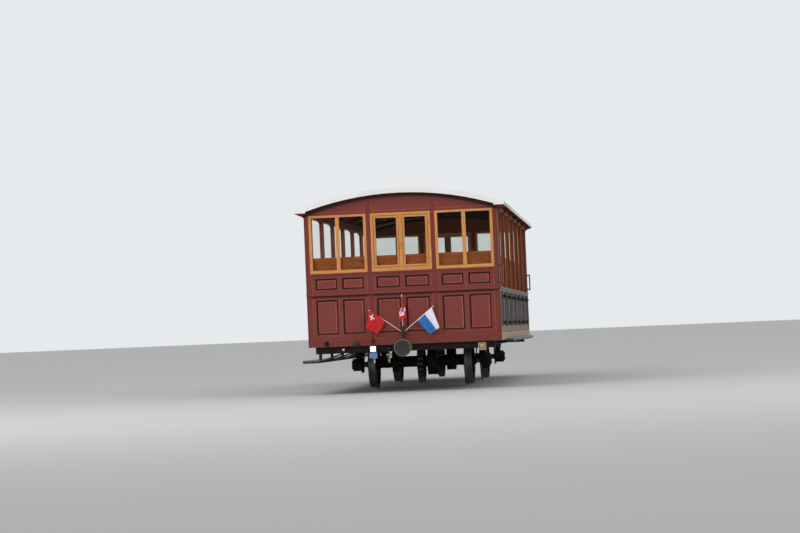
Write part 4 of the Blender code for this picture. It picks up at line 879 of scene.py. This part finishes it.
def makeEndLamp():
    look = endLamp
    x, top, back, depth = look["x"], up(look["top"]), -look["sill"], look["depth"]
    near = back - look["out"]
    far, middle = near - depth, near - depth / 2
    wide, tall = look["lens"][0] / 2, look["lens"][1]
    low = top - tall
    head = addBox("lampHead", (x - wide, far, low - 0.008), (x + wide, near, top))
    insetFaces(head, facing("Y", -1), (0.004, 0.003), (0.004, 0), (0.001, -0.006))
    insetFaces(head, facing("Z", 1), (0.012, 0.004))
    coat(soften(head, 0.0025), "lampShell")
    upper, lower, deep = look["bodyTop"] / 2, look["body"][0] / 2, look["body"][1]
    body = addBox("lampBody", (x - upper, far + 0.008, low - deep / 2), (x + upper, near - 0.008, low))
    pickFaces(body, facing("Z", -1))
    bpy.ops.transform.resize(value=(lower / upper, 1, 1), center_override=(x, middle, low - deep / 2))
    for drop in (0.01 - deep / 2, -0.01):
        bpy.ops.mesh.extrude_region_move(TRANSFORM_OT_translate={"value": (0, 0, drop)})
    bpy.ops.transform.resize(value=(0.86, 0.86, 1), center_override=(x, middle, low - deep))
    objectMode()
    insetFaces(body, lambda spot, normal: normal.y < -0.9 and spot.z < low - deep / 2, (0.008, -0.003))
    coat(soften(body, 0.003), "lampBlue")
    stemTop, stemLow, size = up(look["stemTop"]), top - 0.008, look["clamp"]
    at = (x, middle, (stemTop + stemLow) / 2)
    stem = addRound("lampStem", look["stem"], stemTop - stemLow, at, "Z", 24)
    clampHigh = stemTop - look["clampDrop"] - size
    clamp = addBox("lampClamp", (x - size / 2, middle - size / 2, clampHigh - size),
                   (x + size / 2, back, clampHigh))
    tagWide, tagTall, thick = look["tag"]
    tag = addBox("lampTag", (x, middle - thick / 2, low - deep - tagTall),
                 (x + tagWide, middle + thick / 2, low - deep / 2))
    pin = makeBolt("lampPin", (x, middle - size / 2 - 0.003, clampHigh - size / 2), "Y", -1, 0.007)
    iron = joinPieces("lampIronwork", [stem, soften(clamp), soften(tag), pin])
    coat(iron, "underframeBlack", "paleEnamel")
    paintFaces(iron, 1, lambda spot, normal: spot.z < low - deep)
    place(joinPieces("frontLampHousing", [head, body, iron]), None, "lamp_metal", "end_lamp")
    # The lens is a grid that swells towards its middle
    halfWide, halfTall = wide - look["lensRim"], tall / 2 - look["lensRim"]
    at = (x, far - 0.001, top - tall / 2)
    lens = addGrid("frontLampLens", look["lensCells"], at, "Y", (2 * halfWide, 2 * halfTall, 1))
    for vertex in lens.data.vertices:
        across, rise = (vertex.co.x - x) / halfWide, (vertex.co.z - top + tall / 2) / halfTall
        vertex.co.y -= look["lensBulge"] * (1 - across ** 2) * (1 - rise ** 2)
    place(thicken(lens, 0.002, 40), "lampLit", "lamp_metal")


# Marker: white plate with rounded corners, a rimmed round amber lens and the strap it hangs on

sideMarker = {"x": 1.115, "height": 0.595, "width": 0.115, "plate": 0.012, "disc": 0.037, "back": 4.4803,
              "corner": 0.016, "strapHalf": 0.012, "dome": (0.028, 0.010)}


def makeMarker():
    look = sideMarker
    x, height, half, disc = look["x"], up(look["height"]), look["width"] / 2, look["disc"]
    back = -look["back"]
    front = back - look["plate"]
    plate = addBox("markerPlate", (x - half, front, height - half), (x + half, back, height + half))
    pickFaces(plate, lambda spot, normal: False)
    bpy.ops.mesh.select_mode(type="EDGE")
    objectMode()
    for edge in plate.data.edges:
        first, second = (plate.data.vertices[index].co for index in edge.vertices)
        edge.select = abs(first.y - second.y) > look["plate"] / 2
    bpy.ops.object.mode_set(mode="EDIT")
    bpy.ops.mesh.bevel(offset=look["corner"], segments=5)
    objectMode()
    insetFaces(plate, facing("Y", -1), (0.004, 0), (0.002, -0.002))
    ring = addRound("markerRing", disc, 0.008, (x, front - 0.002, height), "Y", 40)
    rim = [(disc - 0.002, front - 0.009), (disc - 0.006, front - 0.010), (disc - 0.008, front - 0.006)]
    turnEnd(ring, "Y", -1, rim, (x, front, height), disc)
    plate = joinPieces("markerPlate", [soften(plate, 0.0012), soften(ring, 0.0006, 1)])
    coat(plate, "markerWhite")
    strap = addBox("markerStrap", (x - look["strapHalf"], back - 0.004, height + half - 0.004),
                   (x + look["strapHalf"], back, up(coach["sillBottom"])))
    insetFaces(strap, facing("Y", -1), (0.003, 0.0006))
    coat(strap, "underframeBlack")
    place(joinPieces("markerHousing", [plate, strap]), None, "marker_white", "marker_lamp")
    lens = addRound("markerLens", disc - 0.008, 0.004, (x, front - 0.006, height), "Y", 40)
    wide, deep = look["dome"]
    dome = [(disc - 0.009 - wide * (1 - math.cos(turn)), front - 0.008 - deep * math.sin(turn))
            for turn in (0.25, 0.5, 0.75, 1.0, 1.25)]
    turnEnd(lens, "Y", -1, dome, (x, front, height), disc - 0.008)
    place(shadeSmooth(lens, 40), "amberLens", "marker_white")


# Flags: small cloths sewn round slim poles that fan out from the holder over the buffer.
# Places are (across, height). A hoist runs from its upper to its lower end, a free edge from low to high.

flagStand = {"x": -0.018, "y": -4.5533, "pole": 0.0066, "front": 0.0095, "sleeve": 0.0088, "cells": 30,
             "clothThick": 0.0012}
flags = {
    "Left": {"foot": (-0.018, 0.836), "tip": (-0.507, 1.184), "hoist": ((-0.489, 1.171), (-0.282, 1.019)),
             "free": ((-0.396, 0.836), (-0.562, 0.930)), "flat": (0.257, 0.235), "waves": 1.6, "fold": 0.013,
             "bulge": 0.016, "way": 1, "cloth": "cornerCrossFlagCloth", "sewn": "redFlagCloth",
             "slot": "red_cloth", "node": "flag_left"},
    "Right": {"foot": (-0.018, 0.836), "tip": (0.443, 1.207), "hoist": ((0.414, 1.181), (0.205, 0.999)),
              "free": ((0.380, 0.797), (0.513, 0.893)), "flat": (0.277, 0.285), "waves": 1.3, "fold": 0.012,
              "bulge": 0.006, "way": -1, "cloth": "halvesFlagCloth", "sewn": "whiteFlagCloth",
              "slot": "blue_cloth", "node": "flag_right"},
    "Middle": {"foot": (-0.018, 0.92), "tip": (-0.018, 1.393), "hoist": ((-0.018, 1.352), (-0.018, 1.095)),
               "right": 0.063, "left": 0.060, "back": 0.045, "turns": (0.24, 0.72), "topDrop": 0.205,
               "lowDrop": 0.105, "depth": 0.024, "pleat": 0.0065, "pleats": 24, "flat": (0.257, 0.20),
               "cloth": "crossFlagCloth", "sewn": "redFlagCloth", "slot": "red_cloth", "node": "flag_centre"}}


def spanPole(name, low, high, radius, sides=20):
    # A round bar between two points
    low, high = Vector(low), Vector(high)
    bar = addRound(name, radius, (high - low).length, (0, 0, 0), "Z", sides)
    lay(bar, high - low, (low + high) / 2)
    return bar


def poleTip(name, foot, tip):
    # Turned finial: collar, neck and pointed bulb
    way = (tip - foot).normalized()
    knob = addRound(name, 0.0085, 0.004, (0, 0, 0), "Z", 20)
    steps = [(0.005, 0.003), (0.0045, 0.006), (0.0085, 0.010), (0.0095, 0.014), (0.0075, 0.020),
             (0.004, 0.026), (0.001, 0.031)]
    turnEnd(knob, "Z", 1, steps, (0, 0, 0), 0.0085)
    lay(knob, way, tip - way * 0.030)
    return shadeSmooth(knob, 50)


def sideCloth(look, along, out):
    # along runs up the pole, out runs to the free edge
    (upX, upZ), (lowX, lowZ) = look["hoist"]
    (farLowX, farLowZ), (farUpX, farUpZ) = look["free"]
    x = (1 - out) * (lowX + (upX - lowX) * along) + out * (farLowX + (farUpX - farLowX) * along)
    z = (1 - out) * (lowZ + (upZ - lowZ) * along) + out * (farLowZ + (farUpZ - farLowZ) * along)
    sag = look["bulge"] * math.sin(math.pi * out) * (1 - along)
    swell = math.sin(2 * math.pi * look["waves"] * along + 2.2 * out + 0.6)
    ripple = 0.3 * math.sin(2 * math.pi * 3.1 * along - 1.5 * out)
    drop = 0.006 * math.sin(math.pi * along) * out
    depth = look["fold"] * out ** 0.8 * (1.3 + swell + ripple)
    return x + sag * look["way"], depth, z - drop - sag * 0.6


def middleCloth(look, along, out):
    # Out to the right, back past the pole to the left, and a little back again
    (poleX, top), (poleX, low) = look["hoist"]
    first, second = look["turns"]
    if out < first:
        across = look["right"] * math.sin(math.pi / 2 * out / first)
    elif out < second:
        turn = math.cos(math.pi * (out - first) / (second - first))
        across = look["right"] - (look["left"] + look["right"]) * (0.5 - 0.5 * turn)
    else:
        across = look["back"] * math.sin(math.pi / 2 * (out - second) / (1 - second)) - look["left"]
    share = 1 - along ** 1.4
    drop = look["lowDrop"] + (look["topDrop"] - look["lowDrop"]) * along ** 1.5
    layer = look["depth"] * (0.35 + 0.9 * out + 0.35 * math.sin(4.5 * out + 3 * along)) * (0.4 + 0.6 * share)
    pleat = look["pleat"] * (1 + math.sin(look["pleats"] * out)) * min(1, 4 * out) * (0.45 + 0.55 * share)
    height = low + (top - low) * along - drop * out ** 0.85
    return poleX + across * (0.22 + 0.78 * share), layer + pleat, height


def makeCloth(name, look, shape):
    # A fine grid with its own map for the pattern, laid out from its own places, both from 0 to 1
    cloth = addGrid(name, flagStand["cells"], (0.5, 0.5, 0))
    for vertex in cloth.data.vertices:
        x, depth, height = shape(look, vertex.co.x, vertex.co.y)
        vertex.co = (x, flagStand["y"] - flagStand["front"] - depth, up(height))
    cloth.data.update()
    return thicken(cloth, flagStand["clothThick"], 60)


def makeFlag(side, shape):
    look = flags[side]
    ends = [Vector((across, flagStand["y"], up(height))) for across, height in look["hoist"]]
    foot, tip = [Vector((look[end][0], flagStand["y"], up(look[end][1]))) for end in ("foot", "tip")]
    cloth = makeCloth("flagCloth" + side, look, shape)
    sleeve = spanPole("flagSleeve" + side, ends[1], ends[0], flagStand["sleeve"])
    insetFaces(sleeve, lambda spot, normal: min((spot - end).length for end in ends) < 0.003,
               (0.0022, -0.004))
    pole = spanPole("flagPole" + side, foot, tip, flagStand["pole"])
    stick = joinPieces("flagStick" + side, [pole, poleTip("flagTip" + side, foot, tip)])
    place(stick, "flagPole", "stand_black")
    place(shadeSmooth(sleeve, 50), look["sewn"], look["slot"])
    place(cloth, look["cloth"], look["slot"], look["node"])


# Door fittings: coach bolts along the strap hinges, a rose behind the lever and a pin through each barrel

doorFittings = {"first": -2.5 * coach["bay"] - 0.28, "straps": (0.921, 1.313), "bolts": (0.045, 0.105, 0.170),
                "boltSize": 0.0085, "strapFace": 1.4145, "hingeX": 1.4345, "hingeBack": 0.003, "pin": 0.0095,
                "pinOut": 0.0405, "rose": 0.019, "leafFace": 1.4005, "handleY": 0.50, "handleZ": 1.303,
                "leverEnd": 0.09, "leverX": 1.4535, "doors": 6}


def makeDoorFittings():
    look, low, pieces = doorFittings, doorFittings["first"], []
    for height in look["straps"]:
        for step in look["bolts"]:
            at = (look["strapFace"] + 0.001, low + step, up(height))
            pieces.append(domeBolt("strapBolt", at, "X", 1, look["boltSize"]))
        for way in (1, -1):
            at = (look["hingeX"], low - look["hingeBack"], up(height) + way * look["pinOut"])
            pieces.append(domeBolt("hingePin", at, "Z", way, look["pin"]))
    leaf, rose, lever = valuesOf(look, "leafFace rose leverX")
    y, z = low + look["handleY"], up(look["handleZ"])
    plate = addRound("handleRose", rose, 0.012, (leaf + 0.003, y, z), "X", 32)
    turnEnd(plate, "X", 1, [(rose - 0.004, leaf + 0.012), (0.012, leaf + 0.013), (0.0105, leaf + 0.022)],
            (leaf, y, z), rose)
    grip, end = addRound("leverGrip", 0.0095, 0.004, (lever, y - 0.03, z), "Y", 20), y - look["leverEnd"]
    turnEnd(grip, "Y", -1, [(0.0115, y - 0.05), (0.0125, end + 0.012), (0.0105, end + 0.002),
                            (0.006, end - 0.001)], (lever, 0, z), 0.0095)
    model = shadeSmooth(joinPieces("doorFittingsModel", pieces + [plate, grip]), 45)
    for number in range(look["doors"]):
        right = copyTo(model, (0, number * coach["bay"], 0))
        for side, piece in (("right", right), ("left", mirrorCopy(right, "X"))):
            door = side + "_" + str(number + 1)
            piece.name = piece.data.name = "doorFittings_" + door
            place(piece, "fittingIron", "frame_steel", body="door_" + door)
    bpy.data.objects.remove(model)


# Grab rails at the right side's corners: round bar with cranked ends on round plates

grabRail = {"radius": 0.0116, "out": 1.4535, "face": 1.4085, "low": 1.498, "length": 0.27, "y": 4.4137,
            "plate": 0.021, "armIn": 0.011}


def makeGrabRails():
    out, face, radius, plateSize, pieces = *valuesOf(grabRail, "out face radius plate"), []
    low, high = up(grabRail["low"]), up(grabRail["low"] + grabRail["length"])
    for y in (-grabRail["y"], grabRail["y"]):
        pieces.append(spanPole("grabBar", (out, y, low - 0.004), (out, y, high + 0.004), radius))
        for z in (low + grabRail["armIn"], high - grabRail["armIn"]):
            pieces.append(spanPole("grabArm", (face - 0.002, y, z), (out, y, z), radius - 0.001))
            plate = addRound("grabPlate", plateSize, 0.005, (face + 0.002, y, z), "X", 28)
            turnEnd(plate, "X", 1, [(plateSize - 0.003, face + 0.007), (0.013, face + 0.008)],
                    (0, y, z), plateSize)
            pieces.append(plate)
    place(shadeSmooth(joinPieces("grabRails", pieces), 40), "grabRailPaint", "frame_steel")


# Middle window: butt hinges at the outer stiles, a turn latch on the meeting stile

casement = {"stile": 0.405, "hinges": (1.90, 2.42), "barrel": 0.006, "leaf": (0.016, 0.025), "face": 4.510,
            "latch": 2.13, "latchRose": 0.016}


def makeCasementFittings():
    look, front, rose, pieces = casement, -casement["face"], casement["latchRose"], []
    wide, tall = look["leaf"]
    for x in (-look["stile"], look["stile"]):
        for z in (up(height) for height in look["hinges"]):
            pieces.append(spanPole("windowHinge", (x, front - 0.002, z - tall), (x, front - 0.002, z + tall),
                                   look["barrel"], 16))
            leaf = addBox("hingeLeaf", (x - wide, front - 0.002, z - tall),
                          (x + wide, front + 0.002, z + tall))
            pieces.append(soften(leaf, 0.0008, 1))
    z = up(look["latch"])
    latch = addRound("latchRose", rose, 0.004, (0, front - 0.001, z), "Y", 28)
    turnEnd(latch, "Y", -1, [(0.012, front - 0.005), (0.006, front - 0.006), (0.006, front - 0.014)],
            (0, 0, z), rose)
    bar = addBox("latchBar", (-0.006, front - 0.018, z - 0.032), (0.006, front - 0.012, z + 0.008))
    fittings = joinPieces("casementFittingsFront", pieces + [latch, soften(bar)])
    rear = mirrorCopy(fittings, "Y")
    rear.name = rear.data.name = "casementFittingsRear"
    for piece in (fittings, rear):
        place(piece, "agedBrass", "varnished_wood")


# Underframe bolts: headstocks, axle box lids and guard plates

frameBolts = {"headstock": (-1.22, -1.05, -0.86, -0.62, 0.28, 0.42, 0.62, 0.86, 1.0), "headstockFace": 4.4797,
              "headstockZ": (0.60, 0.64), "lidFace": 1.085, "lid": (0.052, 0.31, 0.41), "guardFace": 0.9147,
              "guard": ((-0.27, 0.66), (-0.14, 0.66), (0.0, 0.66), (0.14, 0.66), (0.27, 0.66), (-0.22, 0.60),
                        (0.22, 0.60))}


def makeFrameBolts():
    look = frameBolts
    heads = [makeBolt("headBolt", (across, way * look["headstockFace"], up(height)), "Y", way, 0.010)
             for way in (-1, 1) for across in look["headstock"] for height in look["headstockZ"]]
    place(joinPieces("headstockBolts", heads), "underframeBlack", "frame_steel")
    half, low, high = look["lid"]
    lid = [(along, height) for height in (low, high) for along in (-half, half)]
    heads = []
    for axle in (-coach["axle"], coach["axle"]):
        for side in (-1, 1):
            for face, way, size, spots in ((look["lidFace"], side, 0.009, lid),
                                           (look["guardFace"], -side, 0.011, look["guard"])):
                heads += [makeBolt("guardBolt", (side * face, axle + along, up(height)), "X", way, size)
                          for along, height in spots]
    place(joinPieces("axleGuardBolts", heads), "underframeBlack", "frame_steel")


# Jumper socket's cap and collar, and the pale knob on the leading headstock

socketCap = {"x": -0.706, "height": 0.705, "front": 4.5883, "radius": 0.034, "collar": 0.044,
             "collarAt": 4.563}
paleKnob = {"x": -0.90, "height": 0.622, "front": 4.5147, "radius": 0.017}


def makeSocketCap():
    look = socketCap
    x, z, front, back = look["x"], up(look["height"]), -look["front"], -look["collarAt"]
    radius, collarSize = look["radius"], look["collar"]
    cap = addRound("socketCap", radius + 0.001, 0.006, (x, front + 0.001, z), "Y", 40)
    turnEnd(cap, "Y", -1, [(radius - 0.004, front - 0.005), (radius - 0.010, front - 0.005),
                           (radius - 0.012, front - 0.003), (0.006, front - 0.004)],
            (x, 0, z), radius + 0.001)
    collar = addRound("socketCollar", collarSize, 0.008, (x, back, z), "Y", 40)
    turnEnd(collar, "Y", -1, [(collarSize + 0.0015, back - 0.006), (collarSize + 0.0015, back - 0.013),
                              (collarSize - 0.008, back - 0.016)], (x, 0, z), collarSize)
    lug = addBox("capLug", (x - 0.008, front, z + radius - 0.004),
                 (x + 0.008, front + 0.03, z + radius + 0.010))
    whole = joinPieces("socketCover", [cap, collar, soften(lug)])
    place(shadeSmooth(whole, 40), "socketEnamel", "frame_steel")


def makePaleKnob():
    look = paleKnob
    x, z, front, radius = look["x"], up(look["height"]), -look["front"], look["radius"]
    knob = addRound("headstockKnob", radius + 0.001, 0.02, (x, front + 0.008, z), "Y", 32)
    turnEnd(knob, "Y", -1, [(radius + 0.003, front - 0.004), (radius + 0.003, front - 0.010),
                            (radius - 0.002, front - 0.014), (0.008, front - 0.015), (0.007, front - 0.011)],
            (x, 0, z), radius + 0.001)
    place(shadeSmooth(knob, 35), "paleEnamel", "headstock_paint")


# Curved nodes get a merged copy that shades smoothly

def smoothCopy(source, name, slotName, coatName, angle=24):
    skin = bpy.data.objects.new(name, nodes[source].data.copy())
    bpy.context.scene.collection.objects.link(skin)
    pickOnly(skin)
    bpy.ops.object.mode_set(mode="EDIT")
    bpy.ops.mesh.select_all(action="SELECT")
    bpy.ops.mesh.remove_doubles(threshold=0.00004)
    objectMode()
    place(shadeSmooth(skin, angle), coatName, slotName, source)


for makeFinish in (endPaintFinish, sidePaintFinish, doorFinish, honeyWoodFinish, benchFinish, floorFinish,
                   roofFinish, bufferFinish, stepFinish, glassFinish, standFinish, couplingFinish):
    makeFinish()
ironFinish("underframeBlack", "black", "dust", 0.45)
ironFinish("headstockPaint", "headstock", "dust", 0.2, 0.55, 0.0)
ironFinish("wheelIron", "wheel", "dust", 0.8, 0.65, 0.3)
ironFinish("treadSteel", "tread", "wheel", 0.5, 0.4, 0.75)
for name, look in plainLooks.items():
    plainFinish(name, *look)
clothFinish("crossFlagCloth", "red", crossPattern(*flagLook["cross"]))
clothFinish("cornerCrossFlagCloth", "red", crossPattern(*flagLook["cornerCross"]))
clothFinish("halvesFlagCloth", "blue", halvesPattern)
clothFinish("redFlagCloth", "sleeve")
clothFinish("whiteFlagCloth", "whiteSleeve")
print("finishes made")

# The nodes that are shown, by how their names begin
dressing = {"endWallPaint": "end_wall", "sideTimberPaint": "side_frame", "floorBoards": "floor",
            "benchWood": "benches", "doorBoards": "door_", "varnishedHardwood": "window_frame",
            "windowGlass": "window_pane", "headstockPaint": "headstock", "stepBoards": "footboard",
            "holderBlack": "flag_stand",
            "underframeBlack": ("sole_bar", "cross_bearer", "lamp_iron", "jumper")}
for coatName, start in dressing.items():
    for name in nodes:
        if name.startswith(start):
            coat(nodes[name], coatName)
print("nodes dressed")

makeWheelset("Front", -coach["axle"])
makeWheelset("Rear", coach["axle"])
makeBuffer("Front", -1)
makeBuffer("Rear", 1)
print("wheelsets and buffers made")
makeEndLamp()
makeMarker()
makeFlag("Left", sideCloth)
makeFlag("Right", sideCloth)
makeFlag("Middle", middleCloth)
print("lamp, marker and flags made")
makeDoorFittings()
makeGrabRails()
makeCasementFittings()
makeFrameBolts()
makeSocketCap()
makePaleKnob()
smoothCopy("roof", "canvasRoof", "roof_canvas", "roofCanvas")
smoothCopy("hose_coupling", "smoothCoupling", "hose_yellow", "couplingPaint", 50)
for end in ("front", "rear"):
    smoothCopy("brake_beam_" + end, "smoothBrake_" + end, "frame_steel", "underframeBlack", 32)
    for side in (end + "_left", end + "_right"):
        smoothCopy("axle_guard_" + side, "smoothGuard_" + side, "frame_steel", "underframeBlack")
print("fittings made")

# Floor, sky and lamps

studio = {"floor": (206, 205, 203), "size": 600, "sky": 0.85, "backdrop": (0.80, 0.82, 0.84),
          "aim": (0, 0, 1.5),
          "lamps": {"keyLamp": ((-9, -16, 12), 9, 900), "fillLamp": ((14, -12, 8), 9, 450)}}


def makeStage():
    deselect()
    bpy.ops.mesh.primitive_plane_add(size=studio["size"], location=(0, 0, 0))
    floor = bpy.context.object
    floor.name = "studioFloor"
    newFinish("studioFloor", 0.9, Base_Color=linear(studio["floor"]), Specular_IOR_Level=0.1)
    coat(floor, "studioFloor")


def makeSky():
    # The sky lights the coach less than it shows behind it and through its windows
    world = bpy.data.worlds.new("studioSky")
    world.use_nodes = True
    bpy.context.scene.world = world
    tree = world.node_tree
    light, seen = tree.nodes["Background"], addNode(tree, "Background")
    for sky, strength in ((light, studio["sky"]), (seen, 1.0)):
        sky.inputs["Color"].default_value = (*studio["backdrop"], 1)
        sky.inputs["Strength"].default_value = strength
    path, show = addNode(tree, "LightPath").outputs, addNode(tree, "MixShader")
    either = larger(path["Is Camera Ray"], path["Is Transmission Ray"])
    for place, value in enumerate((either, light.outputs[0], seen.outputs[0])):
        feed(show.inputs[place], value)
    feed(tree.nodes["World Output"].inputs["Surface"], show.outputs[0])


def makeLamp(name, at, size, power):
    lamp = bpy.data.lights.new(name, "AREA")
    lamp.energy, lamp.size = power, size
    seat = bpy.data.objects.new(name, lamp)
    bpy.context.scene.collection.objects.link(seat)
    aim = Vector(studio["aim"]) - Vector(at)
    seat.matrix_world = Matrix.Translation(at) @ aim.to_track_quat("-Z", "Y").to_matrix().to_4x4()


makeStage()
makeSky()
for name, look in studio["lamps"].items():
    makeLamp(name, *look)
bpy.context.scene.view_settings.view_transform = "Standard"
print("studio lit")
